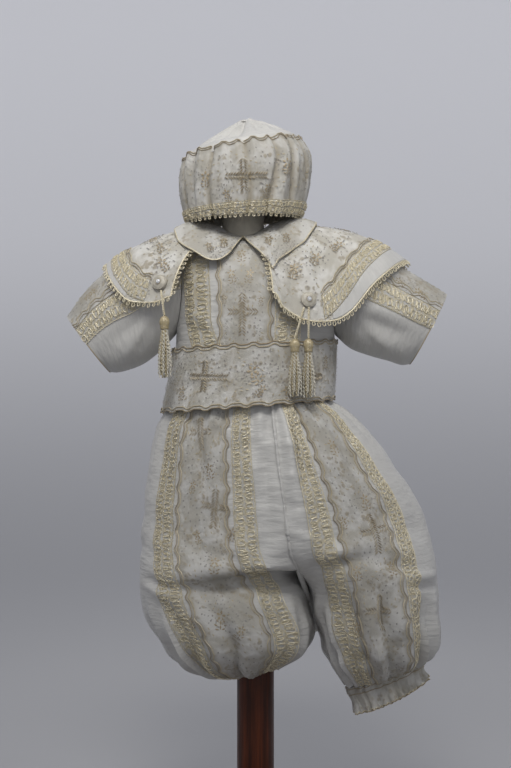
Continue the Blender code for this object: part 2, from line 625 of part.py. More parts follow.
def make_hat():
    inside = (HAT_APEX[0], 0.0, HAT_INSIDE_Z)
    band = tilted_rings(HAT_BAND, HAT_COLUMNS)
    wall("hat_band", band, True, inside, SATIN, lace())
    out = outward(band, True, inside)
    low = (band + out * GAP)[HAT_EDGING_ROWS[0] : HAT_EDGING_ROWS[1]]
    high = low + out[HAT_EDGING_ROWS[0] : HAT_EDGING_ROWS[1]] * BRAID
    slab("hat_edging", low, high, True, braid())
    seat = band[0] - out[0] * (SATIN + 2 * GAP)
    middle = seat.mean(axis=0)
    rings = []
    for size, rise in zip(HAT_CROWN_SIZES, HAT_CROWN_RISE, strict=True):
        rings.append(middle + (seat - middle) * size + (np.array(HAT_APEX) - middle) * rise)
    wall("hat_crown", np.array(rings), True, inside, SATIN, satin(), peak=True)


def cape_normal(direction, reach):
    """The cape's own normal, from small steps down it and round it."""
    step, turn = CAPE_PROBE
    along = cape_point(direction, reach + step) - cape_point(direction, reach - step)
    around = cape_point(direction + turn, reach) - cape_point(direction - turn, reach)
    found = np.cross(around, along)
    found /= np.linalg.norm(found)
    return found if found[1] < 0 else -found


def cord(name, points):
    curve = bpy.data.curves.new(name, "CURVE")
    curve.dimensions = "3D"
    spline = curve.splines.new("POLY")
    spline.points.add(len(points) - 1)
    for point, place in zip(spline.points, points, strict=True):
        point.co = (*(np.asarray(place) * MM), 1.0)
    curve.bevel_depth = CORD_RADIUS * MM
    curve.bevel_resolution = CORD_SIDES
    curve.use_fill_caps = True
    curve.materials.append(braid())
    made = bpy.data.objects.new(name, curve)
    bpy.context.scene.collection.objects.link(made)


def make_buttons():
    for name, (direction, reach) in (("right", BUTTON_RIGHT), ("left", BUTTON_LEFT)):
        out = cape_normal(direction, reach)
        seat = cape_point(direction, reach) + out * BUTTON_LIFT
        turned("button_" + name, BUTTON_PROFILE, BUTTON_SIDES, seat, out, satin())
        top = seat + out * (BUTTON_PROFILE[-1][1] + GAP)
        turned("button_stone_" + name, STONE_PROFILE, STONE_SIDES, top, out, stone())


def make_tassels():
    for name, (top, length) in TASSELS.items():
        profile = tuple((radius, -share * length) for radius, share in reversed(TASSEL_PROFILE))
        turned("tassel_" + name, profile, TASSEL_SIDES, top, (0, 0, 1), braid())
        direction, reach = BUTTON_RIGHT if name == "right" else BUTTON_LEFT
        out = cape_normal(direction, reach)
        seat = cape_point(direction, reach) + out * (BUTTON_LIFT + CORD_LIFT)
        start = seat + np.array([CORD_LEAN * (top[0] - seat[0]), *CORD_START])
        end = np.array(top) + (0.0, 0.0, CORD_CLEAR)
        share = np.linspace(0, 1, CORD_STEPS)[:, None]
        bow = np.array([0.0, CORD_BOW, 0.0]) * np.sin(np.pi * share)
        cord("tassel_cord_" + name, start + (end - start) * share + bow)


def main():
    for old in list(bpy.data.objects):
        bpy.data.objects.remove(old, do_unlink=True)
    make_stand()
    make_form()
    make_bodice()
    make_sleeves()
    make_legs()
    make_capes()
    make_collar()
    make_belt()
    make_hat()
    make_buttons()
    make_tassels()


main()
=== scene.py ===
"""Christening romper suit with capelets, belt and cap on a dress form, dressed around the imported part.

Tables are in millimetres and degrees, and MM turns them into metres where a mesh is made.
+Z is up, -Y is the front, and left and right are the wearer's, so the wearer's right is at -X.
"""

import bpy
import numpy as np
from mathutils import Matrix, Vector


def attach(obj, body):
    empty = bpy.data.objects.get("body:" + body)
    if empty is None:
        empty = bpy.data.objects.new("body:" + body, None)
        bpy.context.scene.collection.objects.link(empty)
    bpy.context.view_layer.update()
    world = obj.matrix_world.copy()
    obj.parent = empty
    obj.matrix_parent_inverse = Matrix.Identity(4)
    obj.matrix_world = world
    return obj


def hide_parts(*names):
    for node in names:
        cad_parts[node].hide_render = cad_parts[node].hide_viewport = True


bl_info = {
    "name": "Christening Suit",
    "version": (1, 0, 0),
    "blender": (4, 5, 0),
    "location": "3D View > Sidebar > Christening Suit",
    "description": "Sews the satin, lace, braid and tassels of a christening suit round its frame",
    "category": "Add Mesh",
}

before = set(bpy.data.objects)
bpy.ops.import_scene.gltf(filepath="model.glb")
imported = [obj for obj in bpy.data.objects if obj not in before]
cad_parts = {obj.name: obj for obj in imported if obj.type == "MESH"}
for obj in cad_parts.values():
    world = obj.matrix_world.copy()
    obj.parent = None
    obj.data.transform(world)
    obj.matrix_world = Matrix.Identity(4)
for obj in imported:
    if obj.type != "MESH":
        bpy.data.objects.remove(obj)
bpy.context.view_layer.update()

MM = 0.001
TAU = 2 * np.pi

# Walls and clearances
SATIN, LACE, BRAID = 1.1, 0.8, 0.7
GAP = 0.3

# Stand
BASE_RADIUS, BASE_HEIGHT, BASE_EDGE = 125, 22, 5
POLE_RADIUS, POLE_TOP = 18.5, 330

# Neck of the garment, an upright ring that dips at the front, and the armholes
NECK_X, NECK_RADIUS = -12, 27
NECK_BACK_Z, NECK_DIP, BACK_DIP = 603.2, 14.2, 0.3
ARM_Z, ARM_HALF_HEIGHT, ARM_HALF_DEPTH = 541, 47, 30

# Dress form: z, x at the right side, x at the left side, depth to the front and back
FORM = (
    (330.3, -52, 50, 40), (336, -62, 60, 48), (380, -69, 66, 54),
    (450, -72, 69, 56), (520, -73, 72, 57), (552, -75, 74, 52),
    (571, -73.5, 72, 42), (582.5, -64, 54, 28.5), (588.5, -48, 27, 24.5),
    (595, -37.2, 13.2, 23.8), (625, -34, 10, 22), (668, -31, 10, 20.5),
    (691, -26, 7.5, 16), (702, -19, 1, 9.5), (706.8, -13, -5, 4),
)

# Bodice: z at the sides, z at the front and back middle, x right, x left, depth
BODICE = (
    (453, 453, -84, 75.5, 62), (472, 472, -80.5, 77, 62.5),
    (486, 488, -79.5, 79, 63), (500, 505, -80, 80, 64),
    (518, 522, -81, 81, 64), (538, 540, -82, 82, 62.5),
    (558, 556, -84, 84, 58), (574, 569, -85, 85, 51),
    (587, 578, -84, 84, 42), (593, 583, -68, 58, 36),
    (598, 586, -52, 34, 31), (601.2, 587, -41.5, 17.5, 27.5),
)
ARM_EDGE = 31  # degrees from the side seam that the armhole pushes aside

# Sleeves: x and z of the upper edge, x and z of the under edge, depth to the front and back
SLEEVES = {
    "right": (
        (-106, 579, -96, 478, 42, 42), (-128, 567, -112, 466, 40, 40),
        (-151, 555.5, -127, 460, 36, 37), (-170, 537, -138, 457.5, 32, 34),
        (-187.5, 513, -145.5, 458, 28, 30),
    ),
    "left": (
        (106, 583, 96, 481, 42, 42), (128, 573, 115, 474, 40.5, 40.5),
        (149, 560, 133, 469, 38, 39), (168, 549, 146, 465, 34, 36),
        (190.5, 535, 154.5, 466, 29, 31),
    ),
}

# Legs: x and z of the outer side, x and z of the seam, half opening angle, depth front and back,
# slide of the trims towards the seam as a share of the width, and depth of the cross fold
LEGS = {
    "right": (
        (-84, 452.4, 14, 452.4, 103, 62, 62, 0, 0),
        (-90, 419.5, 15.5, 425, 103, 68.5, 66.5, 0, 0),
        (-99.5, 399, 17.5, 403, 98, 73, 70, 0, 0),
        (-104.5, 375, 20.5, 377, 94, 76, 74, 0, 0),
        (-109.5, 343, 25.5, 343, 90, 79, 77, 0, 0),
        (-112.5, 312, 29.5, 312, 92, 80, 78, 0, 0),
        (-114, 286, 33.5, 286, 112, 80, 77, 0, 0),
        (-115, 271, 40.5, 268, 140, 81, 76, 0, 0),
        (-115.5, 260, 43, 261, 168, 80, 75, 0.02, 9),
        (-115.5, 250, 46, 257, 179.8, 77, 75, 0.04, 11),
        (-114.5, 234, 51, 238, 179.8, 76, 74, 0.06, 0),
        (-110.5, 217, 55, 220, 179.8, 77, 73, 0.09, 0),
        (-103.5, 203, 58.5, 206, 179.8, 75, 71, 0.10, 0),
        (-92, 187, 56, 191, 179.8, 69, 66, 0.10, 0),
        (-78, 171, 45, 180, 179.8, 57, 55, 0.10, 0),
        (-60, 160, 32, 171, 179.8, 43, 42, 0.10, 0),
        (-38, 156, 24, 165, 179.8, 30, 29, 0.08, 0),
    ),
    "left": (
        (73, 452.4, 14.6, 452.4, 76, 62, 62, 0, 0),
        (72.5, 432, 16.1, 427, 76, 68.5, 66.5, 0, 0),
        (91, 419.5, 18.1, 411, 79, 71.5, 69, 0, 0),
        (121.5, 388, 21, 381, 85, 76, 74, 0, 0),
        (140.5, 361, 24, 355, 90, 78, 76, 0, 0),
        (157.5, 337, 27.6, 330, 90, 80, 78, 0, 0),
        (168.5, 314, 30.6, 306, 92, 80.5, 78, 0, 0),
        (176, 287, 34.2, 285, 112, 80, 77, 0, 0),
        (180.5, 262, 43.6, 268, 138, 79, 76, 0, 0),
        (182, 240, 50.5, 250, 162, 76, 75, 0, 0),
        (182.5, 218, 56, 226, 179.8, 72, 71, 0, 0),
        (182.5, 198, 63.5, 198, 179.8, 67, 66, 0, 0),
        (181, 186, 72, 177, 179.8, 59, 58, 0, 0),
        (177.5, 178, 80, 161, 179.8, 49, 48, 0, 0),
        (170, 173, 90, 145, 179.8, 36, 35, 0, 0),
    ),
}
FOLD_MIDDLE, FOLD_WIDTH = 0.72, 0.62

# Trims of each leg: shares of the width, from the outer side to the seam
LEG_BANDS = {
    "right": {"braid_outer": (0.11, 0.23), "lace": (0.26, 0.62), "braid_inner": (0.66, 0.80)},
    "left": {"braid_outer": (0.18, 0.27), "lace": (0.30, 0.66), "braid_inner": (0.70, 0.85)},
}

# Cuffs: x and z of the outer end, x and z of the inner end, depths
CUFF_LEFT = (
    (169.3, 172.2, 90.8, 143.6, 33, 32), (168.5, 166.5, 93, 136, 27, 26),
    (168.5, 161, 96.5, 130, 29, 28), (172.5, 152.5, 101.5, 118, 33, 32),
)
CUFF_RIGHT = (
    (-32, 156.5, 23, 164.6, 26, 26), (-25, 160, 21.8, 167, 22.6, 22.6),
    (-22, 172, 21.4, 176, 21.6, 21.6),
)

# Belt: x and z of the right end, x and z of the left end, depth to the front and back
BELT = (
    (-82.5, 481.5, 81.3, 490.5, 68, 66.5), (-87.5, 450, 80.5, 460, 70, 68.5),
    (-94, 417, 78.5, 430, 76.5, 74),
)

# Cap: x and z of the right side, x and z of the left side, depth to the front and back
HAT_BAND = (
    (-71.5, 672, 44, 693, 54, 54), (-75, 659, 53, 679, 59, 58),
    (-75.5, 635, 54.5, 650, 61, 60), (-72, 618, 50, 627, 59, 58),
    (-68.5, 608, 45, 613, 56, 56),
)
HAT_CROWN_SIZES = (1.012, 0.99, 0.75, 0.5, 0.28, 0.1)
HAT_CROWN_RISE = (-0.2, 0.02, 0.28, 0.52, 0.74, 0.95)
HAT_APEX = (-9, 0, 710.6)

# Shoulder cape: direction from the neck, then x, y and z of the hem, then how far out and how far
# down the bend of the profile lies, as shares of the way from the neck to the hem
CAPE = (
    (-180, -12, 74, 520, 0.85, 0.12), (-150, -52, 70, 520, 0.82, 0.10),
    (-125, -92, 58, 524, 0.78, 0.06), (-105, -132, 46, 545, 0.70, 0.02),
    (-97, -145, 26, 557, 0.65, 0.04), (-90, -149, 3, 566, 0.60, 0.10),
    (-82, -145.5, -25, 554, 0.66, 0.04), (-74, -137.5, -40, 541, 0.72, 0.02),
    (-66, -125, -49, 528, 0.76, 0.02), (-57, -111, -52, 525, 0.79, 0.08),
    (-49, -96, -58, 525, 0.82, 0.10), (-40, -81, -64, 530, 0.85, 0.12),
    (-20, -45, -71, 520, 0.86, 0.14), (0, -12, -74, 515, 0.86, 0.15),
    (15, 16.6, -75, 533, 0.88, 0.14), (28, 27, -75, 519, 0.86, 0.12),
    (42, 49, -71, 507, 0.84, 0.10), (52, 68, -66, 506, 0.83, 0.06),
    (60, 81.5, -61, 509, 0.81, 0.04), (67, 94, -56, 518, 0.79, 0),
    (76, 114.5, -49, 543, 0.74, -0.04), (84, 137, -34, 562, 0.68, -0.14),
    (91, 151.5, 4, 569.5, 0.62, -0.24), (98, 147, 28, 560, 0.66, -0.16),
    (105, 133, 47, 548, 0.70, -0.08), (125, 88, 60, 524, 0.78, 0.03),
    (150, 38, 72, 520, 0.82, 0.10), (180, -12, 74, 520, 0.85, 0.12),
)
CAPE_SPANS = {"right": (-180 + GAP, -40), "left": (15, 180 - GAP)}
# Where the braid crosses each capelet: first and last direction, reach of its outer edge over the shoulder,
# how much nearer the hem it comes at its ends, and its width as a share of the reach
CAPE_BRAIDS = {"right": (-128, -55, 0.93, 0.055, 0.155), "left": (51, 129, 0.85, 0.135, 0.13)}

# Collar: direction at the neck, direction at the outer edge, reach down the cape
COLLARS = {
    "right": (
        (-1, -12, 0.44), (-8, -18, 0.54), (-18, -26, 0.56), (-32, -38, 0.50),
        (-50, -53, 0.42), (-68, -69, 0.34), (-90, -90, 0.27), (-112, -112, 0.34),
        (-140, -140, 0.44), (-160, -160, 0.48), (-179, -179, 0.48),
    ),
    "left": (
        (1, 17, 0.74), (10, 22, 0.66), (22, 32, 0.54), (38, 44, 0.45),
        (54, 57, 0.40), (72, 73, 0.34), (92, 92, 0.28), (112, 112, 0.34),
        (140, 140, 0.44), (160, 160, 0.48), (179, 179, 0.48),
    ),
}
COLLAR_LIFT, COLLAR_ROLL = 2.6, 5

# Buttons: direction from the neck and reach down the cape; tassels: top, then length
BUTTONS = {"right": (-49, 0.85), "left": (44, 0.87)}
BUTTON_PROFILE = ((7.5, 0), (7.6, 0.8), (7.4, 1.7), (6.6, 2.9), (5.3, 3.7), (3.6, 4.15), (2.3, 4.3))
STONE_PROFILE = ((2.4, 0), (2.5, 0.5), (1.9, 1.3), (1.1, 1.8))
TASSEL_PROFILE = (
    (0.8, -13), (3.4, -12.6), (3.5, -10), (4.5, -8), (4.6, -5), (3.9, -2.2), (2.2, -0.3), (0.8, 0),
)
BUTTON_LIFT, CORD_LIFT = 0.6, 3
TASSELS = {
    "right": ((-87, -66, 511), 59),
    "left_inner": ((37.5, -73, 489), 55),
    "left_outer": ((50.5, -69, 489), 56),
}


# ---------------------------------------------------------------- shapes worked out as whole arrays


def carried(stations, values, wanted):
    """Values carried smoothly between their stations: a cubic whose slopes are those of the values."""
    stations, values = np.asarray(stations, float), np.asarray(values, float)
    slopes = np.gradient(values, stations, axis=0)
    first = np.clip(np.searchsorted(stations, wanted, side="right") - 1, 0, len(stations) - 2)
    step = stations[first + 1] - stations[first]
    t = (wanted - stations[first]) / step
    spread = (slice(None),) + (None,) * (values.ndim - 1)
    t, step = t[spread], step[spread]
    start, end = values[first], values[first + 1]
    leave, arrive = slopes[first] * step, slopes[first + 1] * step
    return (
        (2 * t**3 - 3 * t**2 + 1) * start + (t**3 - 2 * t**2 + t) * leave
        + (3 * t**2 - 2 * t**3) * end + (t**3 - t**2) * arrive
    )


def carry_down(rings, count):
    """Rings of points carried smoothly down the cloth, at even steps of the mean way between them."""
    way = np.linalg.norm(np.diff(rings, axis=0), axis=2).mean(axis=1)
    stations = np.concatenate([[0], np.cumsum(way)])
    return carried(stations, rings, np.linspace(0, stations[-1], count))


def ends_of(table, angles):
    """Rings through two end points, at 0 and 180 degrees, bulging to the front at 90."""
    x0, z0, x1, z1, front, back = np.array(table, float).T[:, :, None]
    share = (1 - np.cos(angles)) / 2
    depth = np.where(np.sin(angles) > 0, front, back) * -np.sin(angles)
    return np.stack([x0 + (x1 - x0) * share, depth, z0 + (z1 - z0) * share], 2)


def around(count):
    """Even directions round a closed ring, the last meeting the first."""
    return np.linspace(0, TAU, count + 1)


def course(across, down):
    """A path of places on a cloth: across it and down it."""
    return np.stack(np.broadcast_arrays(across, down), 1)


def normals(grid, wrap):
    """Unit normals of a grid, from the differences along its rows and columns."""
    if wrap:
        open_grid = grid[:, :-1]
        along = np.roll(open_grid, -1, axis=1) - np.roll(open_grid, 1, axis=1)
        along = np.concatenate([along, along[:, :1]], axis=1)
    else:
        along = np.gradient(grid, axis=1)
    found = np.cross(along, np.gradient(grid, axis=0))
    return found / np.maximum(np.linalg.norm(found, axis=2, keepdims=True), 1e-9)


def smooth(low, high, values):
    """A smooth step from 0 at low to 1 at high."""
    t = np.clip((values - low) / (high - low), 0, 1)
    return t * t * (3 - 2 * t)


def creased(grid, out, side, table):
    """How far soft creases lift the cloth, on its front (side -1) or back (side 1).

    Each row is x and z of one end, x and z of the other, reach to its left and right, and height, below
    zero for a trough. The lift is a bell across the line through both ends that dies away along it.
    """
    x, z = grid[..., 0], grid[..., 2]
    facing = smooth(0.1, 0.5, out[..., 1] * side)
    lift = np.zeros(x.shape)
    for x0, z0, x1, z1, left, right, height in table:
        way = np.hypot(x1 - x0, z1 - z0)
        ux, uz = (x1 - x0) / way, (z1 - z0) / way
        along = ((x - x0) * ux + (z - z0) * uz) / way
        across = (x - x0) * uz - (z - z0) * ux
        past = np.maximum(np.abs(along - 0.5) - 0.5, 0) * way
        reach = np.where(across < 0, left, right)
        fade = 1 - 0.75 * np.clip(np.abs(2 * along - 1), 0, 1) ** 3
        ends = (past / (1.2 * np.minimum(left, right) + 2)) ** 2
        lift += height * fade * np.exp(-((across / reach) ** 2) - ends)
    return lift * facing


def gathers(turn, fullness, seed):
    """Uneven soft folds round a gathered edge: three waves whose steps stretch and crowd."""
    drift = 0.9 * np.sin(turn * 3 + seed) + 0.6 * np.sin(turn * 7 + 2.1 * seed)
    wave = np.sin(turn * fullness + 2.2 * drift) + 0.55 * np.sin(turn * fullness * 1.63 + 3.1 * drift + seed)
    return wave + 0.3 * np.sin(turn * fullness * 2.71 + 1.7 * seed)


class Cloth:
    """A sheet of cloth kept as a grid of points, so that trims and stitches can be laid on it.

    across and down give the grid's coordinates; places between its points are read in straight lines.
    """

    def __init__(self, grid, across, down, inside, wrap=False):
        self.wrap, self.inside = wrap, np.asarray(inside, float)
        self.across, self.down = (float(across[0]), float(across[1])), (float(down[0]), float(down[1]))
        self.grid = grid
        self.out = self.turned_out()

    def turned_out(self):
        """Its normals, on the side away from a point inside it."""
        found = normals(self.grid, self.wrap)
        return found if ((self.grid - self.inside) * found).sum() > 0 else -found

    def raise_by(self, lift):
        """Moves the cloth out along its normals, then works the normals out again."""
        self.grid = self.grid + self.out * lift[..., None]
        self.out = self.turned_out()

    def spots(self, across, down):
        """Row and column numbers, with fractions, of places on the cloth."""
        rows, columns = self.grid.shape[:2]
        c = (across - self.across[0]) / (self.across[1] - self.across[0]) * (columns - 1)
        r = (down - self.down[0]) / (self.down[1] - self.down[0]) * (rows - 1)
        c = np.mod(c, columns - 1) if self.wrap else np.clip(c, 0, columns - 1.0001)
        return np.clip(r, 0, rows - 1.0001), c

    def read(self, field, across, down):
        """A field of the cloth's grid at places between its points, blended in straight lines."""
        r, c = self.spots(*np.broadcast_arrays(np.asarray(across, float), np.asarray(down, float)))
        i, j = np.floor(r).astype(int), np.floor(c).astype(int)
        j = np.minimum(j, field.shape[1] - 2)
        fr, fc = (r - i)[..., None], (c - j)[..., None]
        top = field[i, j] * (1 - fc) + field[i, j + 1] * fc
        low = field[i + 1, j] * (1 - fc) + field[i + 1, j + 1] * fc
        return top * (1 - fr) + low * fr

    def normal(self, across, down):
        """Unit normals at places on the cloth."""
        found = self.read(self.out, across, down)
        return found / np.maximum(np.linalg.norm(found, axis=-1, keepdims=True), 1e-9)

    def at(self, across, down, lift=0):
        """Points on the cloth, lifted off it along its normal."""
        lift = np.asarray(lift, float)[..., None]
        return self.read(self.grid, across, down) + self.normal(across, down) * lift

    def nearest(self, x, z, side=-1):
        """The place on the cloth's front (side -1) or back (side 1) that shows nearest to x and z."""
        away = np.hypot(self.grid[..., 0] - x, self.grid[..., 2] - z)
        away = away + 1e4 * (self.out[..., 1] * side < 0.05)
        r, c = np.unravel_index(np.argmin(away), away.shape)
        rows, columns = away.shape
        across = self.across[0] + (self.across[1] - self.across[0]) * c / (columns - 1)
        return across, self.down[0] + (self.down[1] - self.down[0]) * r / (rows - 1)

    def lay(self, shape, x, z, turn=0, size=1, side=-1, lift=0.6):
        """A flat drawing (sideways, upwards, in millimetres) laid on the cloth round x and z.

        Each point of the drawing is moved to the cloth straight below it, read through the cloth's own
        slopes at its middle, and lifted. Gives the points and the normals there.
        """
        a, d = self.nearest(x, z, side)
        turn = np.radians(turn)
        sideways = (shape[..., 0] * np.cos(turn) - shape[..., 1] * np.sin(turn)) * size
        upwards = (shape[..., 0] * np.sin(turn) + shape[..., 1] * np.cos(turn)) * size
        step_a = (self.across[1] - self.across[0]) / (self.grid.shape[1] - 1) * 2
        step_d = (self.down[1] - self.down[0]) / (self.grid.shape[0] - 1) * 2
        along_a = (self.read(self.grid, a + step_a, d) - self.read(self.grid, a - step_a, d)) / (2 * step_a)
        along_d = (self.read(self.grid, a, d + step_d) - self.read(self.grid, a, d - step_d)) / (2 * step_d)
        out = self.normal(a, d)
        right = np.cross(out, (0, 0, 1)) * -1
        right = right / np.linalg.norm(right)
        up = np.cross(out, right)
        up = up if up[2] > 0 else -up
        matrix = np.array([[along_a @ right, along_d @ right], [along_a @ up, along_d @ up]])
        moved = np.linalg.solve(matrix, np.stack([sideways.ravel(), upwards.ravel()]))
        da, dd = moved[0].reshape(sideways.shape), moved[1].reshape(sideways.shape)
        return self.at(a + da, d + dd, np.full(da.shape, lift)), self.normal(a + da, d + dd)


# ---------------------------------------------------------------- meshes


def ring_faces(count, sides, closed=False):
    """Four-cornered faces between neighbouring rings of points; closed joins the last ring to the first."""
    row = np.arange(count if closed else count - 1)[:, None]
    column = np.arange(sides)[None]
    following, below = (column + 1) % sides, (row + 1) % count
    row, below = row * sides, below * sides
    corners = (row + column, row + following, below + following, below + column)
    return np.stack(corners, 2).reshape(-1, 4)


def placed(name, data):
    """A new object in the scene."""
    made = bpy.data.objects.new(name, data)
    bpy.context.scene.collection.objects.link(made)
    return made


class Mesh:
    """Points in millimetres, faces and flat-cloth coordinates gathered for one piece."""

    def __init__(self):
        self.points, self.faces, self.shades, self.count, self.shade = [], [], [], 0, 0

    def keep(self, points, faces, corner_flats):
        """Adds points and faces whose corners have their own flat-cloth coordinates."""
        self.points.append(points)
        self.shades.append(np.broadcast_to(self.shade, len(points)))
        self.faces.append((faces + self.count, corner_flats))
        self.count += len(points)
        return self

    def join(self, other):
        """Adds all of another mesh."""
        for faces, flats in other.faces:
            self.faces.append((faces + self.count, flats))
        self.points += other.points
        self.shades += other.shades
        self.count += other.count

    def add(self, points, faces, flat=None):
        """Adds points and faces with one flat-cloth coordinate at each point."""
        points, faces = np.asarray(points, float).reshape(-1, 3), np.asarray(faces)
        flat = np.zeros((len(points), 2)) if flat is None else np.asarray(flat, float).reshape(-1, 2)
        return self.keep(points, faces, flat[faces])

    def shell(self, outer, out, thickness, wrap=False, flat=None):
        """The closed wall under a grid: outer face, inner face and the edges between them."""
        rows, columns = outer.shape[:2]
        thickness = np.broadcast_to(np.asarray(thickness, float), (rows, columns))
        inner = outer - out * thickness[..., None]
        used = columns - 1 if wrap else columns
        numbers = np.arange(rows * used).reshape(rows, used)
        if wrap:
            numbers = np.concatenate([numbers, numbers[:, :1]], axis=1)
        count = rows * used
        if flat is None:
            flat = flat_grid(outer)
        corner = [np.s_[:-1, :-1], np.s_[:-1, 1:], np.s_[1:, 1:], np.s_[1:, :-1]]
        front = np.stack([numbers[k].ravel() for k in corner], 1)
        where = np.stack([flat[k].reshape(-1, 2) for k in corner], 1)
        faces, flats = [front, front[:, ::-1] + count], [where, where[:, ::-1]]
        edges = [(numbers[0, ::-1], flat[0, ::-1]), (numbers[-1], flat[-1])]
        if not wrap:
            edges += [(numbers[:, 0], flat[:, 0]), (numbers[::-1, -1], flat[::-1, -1])]
        for edge, place in edges:
            faces.append(np.stack([edge[:-1], edge[:-1] + count, edge[1:] + count, edge[1:]], 1)[:, ::-1])
            flats.append(np.stack([place[:-1], place[:-1], place[1:], place[1:]], 1)[:, ::-1])
        faces, flats = np.concatenate(faces), np.concatenate(flats)
        points = np.concatenate([outer[:, :used].reshape(-1, 3), inner[:, :used].reshape(-1, 3)])
        a, b, c, d = (points[faces[:, k]] for k in range(4))
        if np.einsum("ij,ij->i", a, np.cross(b, c) + np.cross(c, d)).sum() < 0:
            faces, flats = faces[:, ::-1], flats[:, ::-1]
        return self.keep(points, faces, flats)

    def tube(self, path, up, radius, sides=4, closed=False):
        """A round thread along points; up is a direction off the cloth at each of them."""
        path, up = np.asarray(path, float), np.asarray(up, float)
        if closed:
            along = np.roll(path, -1, axis=0) - np.roll(path, 1, axis=0)
        else:
            along = np.gradient(path, axis=0)
        along /= np.maximum(np.linalg.norm(along, axis=1, keepdims=True), 1e-9)
        side = np.cross(along, np.broadcast_to(up, path.shape))
        side /= np.maximum(np.linalg.norm(side, axis=1, keepdims=True), 1e-9)
        third = np.cross(along, side)
        turn = np.arange(sides) / sides * TAU
        radius = np.broadcast_to(np.asarray(radius, float), (len(path),))[:, None, None]
        ring = path[:, None] + radius * (
            np.cos(turn)[None, :, None] * side[:, None] + np.sin(turn)[None, :, None] * third[:, None]
        )
        length = np.concatenate([[0], np.cumsum(np.linalg.norm(np.diff(path, axis=0), axis=1))])
        flat = np.stack(np.broadcast_arrays(np.arange(sides)[None] * 0.5, length[:, None]), 2) * MM
        if closed:
            return self.add(ring, ring_faces(len(path), sides, closed=True), flat)
        return self.capped(ring, path[[0, -1]], flat)

    def capped(self, rings, tips, flat=None):
        """A closed solid through rings of points, with a fan to a tip at each end."""
        count, sides = rings.shape[:2]
        flat = np.zeros((count * sides, 2)) if flat is None else flat.reshape(-1, 2)
        points = np.concatenate([rings.reshape(-1, 3), tips])
        self.add(points, ring_faces(count, sides), np.concatenate([flat, np.zeros((2, 2))]))
        base, edge = self.count - len(points), np.arange(sides)
        for ring, tip in ((edge[::-1], count * sides), (edge + (count - 1) * sides, count * sides + 1)):
            fan = np.stack([ring, np.roll(ring, -1), np.full(sides, tip)], 1)
            self.faces.append((fan + base, np.zeros((sides, 3, 2))))
        return self

    def dots(self, places, out, along, length, width, height):
        """Small raised stitches: six points each, longer than they are wide."""
        places, out, along = (np.asarray(k, float).reshape(-1, 3) for k in (places, out, along))
        side = np.cross(out, along)
        length, width, height = (
            np.broadcast_to(np.asarray(k, float), (len(places),))[:, None] for k in (length, width, height)
        )
        corners = np.stack(
            [places + along * length, places + side * width, places - along * length, places - side * width,
             places + out * height, places - out * height], 1,
        )
        first, second = np.arange(4), (np.arange(4) + 1) % 4
        upper, lower = (first, second, np.full(4, 4)), (second, first, np.full(4, 5))
        one = np.concatenate([np.stack(upper, 1), np.stack(lower, 1)])
        faces = (np.arange(len(places))[:, None, None] * 6 + one).reshape(-1, 3)
        return self.add(corners, faces)

    def turned(self, profile, sides, centre, axis=(0, 0, 1), ripple=None):
        """A solid turned from radius and height pairs, standing at a point along an axis."""
        axis = np.asarray(axis, float) / np.linalg.norm(axis)
        aside = np.cross(axis, (0, 0, 1) if abs(axis[2]) < 0.9 else (0, 1, 0))
        aside /= np.linalg.norm(aside)
        third = np.cross(aside, axis) * -1
        turn = np.arange(sides) / sides * TAU
        ring = np.cos(turn)[:, None] * aside + np.sin(turn)[:, None] * third
        radius, height = np.array(profile, float).T
        reach = np.broadcast_to(radius[:, None], (len(radius), sides)).copy()
        if ripple is not None:
            reach *= ripple(turn[None], height[:, None])
        grid = np.asarray(centre) + axis * height[:, None, None] + ring[None] * reach[..., None]
        tips = np.asarray(centre) + axis * height[[0, -1]][:, None]
        flat = np.stack(np.broadcast_arrays(turn[None] * radius.max(), height[:, None]), 2) * MM
        return self.capped(grid, tips, flat)

    def piece(self, name, finish, slot, nodes=(), sharp=55):
        """Makes the object, rides it on the frame and hides the plain nodes it stands for."""
        points = np.concatenate(self.points) * MM
        mesh = bpy.data.meshes.new(name)
        corners = np.concatenate([faces.ravel() for faces, _ in self.faces])
        sizes = np.concatenate([np.full(len(faces), faces.shape[1]) for faces, _ in self.faces])
        flats = np.concatenate([flat.reshape(-1, 2) for _, flat in self.faces])
        mesh.vertices.add(len(points))
        mesh.vertices.foreach_set("co", points.astype(np.float32).ravel())
        mesh.loops.add(len(corners))
        mesh.loops.foreach_set("vertex_index", corners.astype(np.int32))
        mesh.polygons.add(len(sizes))
        mesh.polygons.foreach_set("loop_start", np.concatenate([[0], np.cumsum(sizes)[:-1]]).astype(np.int32))
        mesh.update(calc_edges=True)
        mesh.uv_layers.new(name="flat").data.foreach_set("uv", flats.astype(np.float32).ravel())
        shade = mesh.attributes.new("shade", "FLOAT", "POINT")
        shade.data.foreach_set("value", np.concatenate(self.shades).astype(np.float32))
        mesh.shade_smooth()
        mesh.set_sharp_from_angle(angle=np.radians(sharp))
        if mesh.validate(verbose=False):
            raise RuntimeError(f"{name} had faces that a mesh can't hold")
        mesh.materials.append(finish)
        made = placed(name, mesh)
        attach(made, "root")
        if nodes:
            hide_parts(*nodes)
        return made

    def stitched(self, name, slot="braid", nodes=()):
        """Makes the object in stitch thread."""
        return self.piece(name, finished("stitch_thread"), slot, nodes)


def flat_grid(grid):
    """Flat-cloth coordinates of a grid, in metres: its middle row's and middle column's own lengths."""
    sideways = np.linalg.norm(np.diff(grid, axis=1), axis=2).mean(axis=0)
    downwards = np.linalg.norm(np.diff(grid, axis=0), axis=2).mean(axis=1)
    u, v = (np.concatenate([[0], np.cumsum(step)]) * MM for step in (sideways, downwards))
    return np.stack(np.broadcast_arrays(u[None, :], v[:, None]), 2)


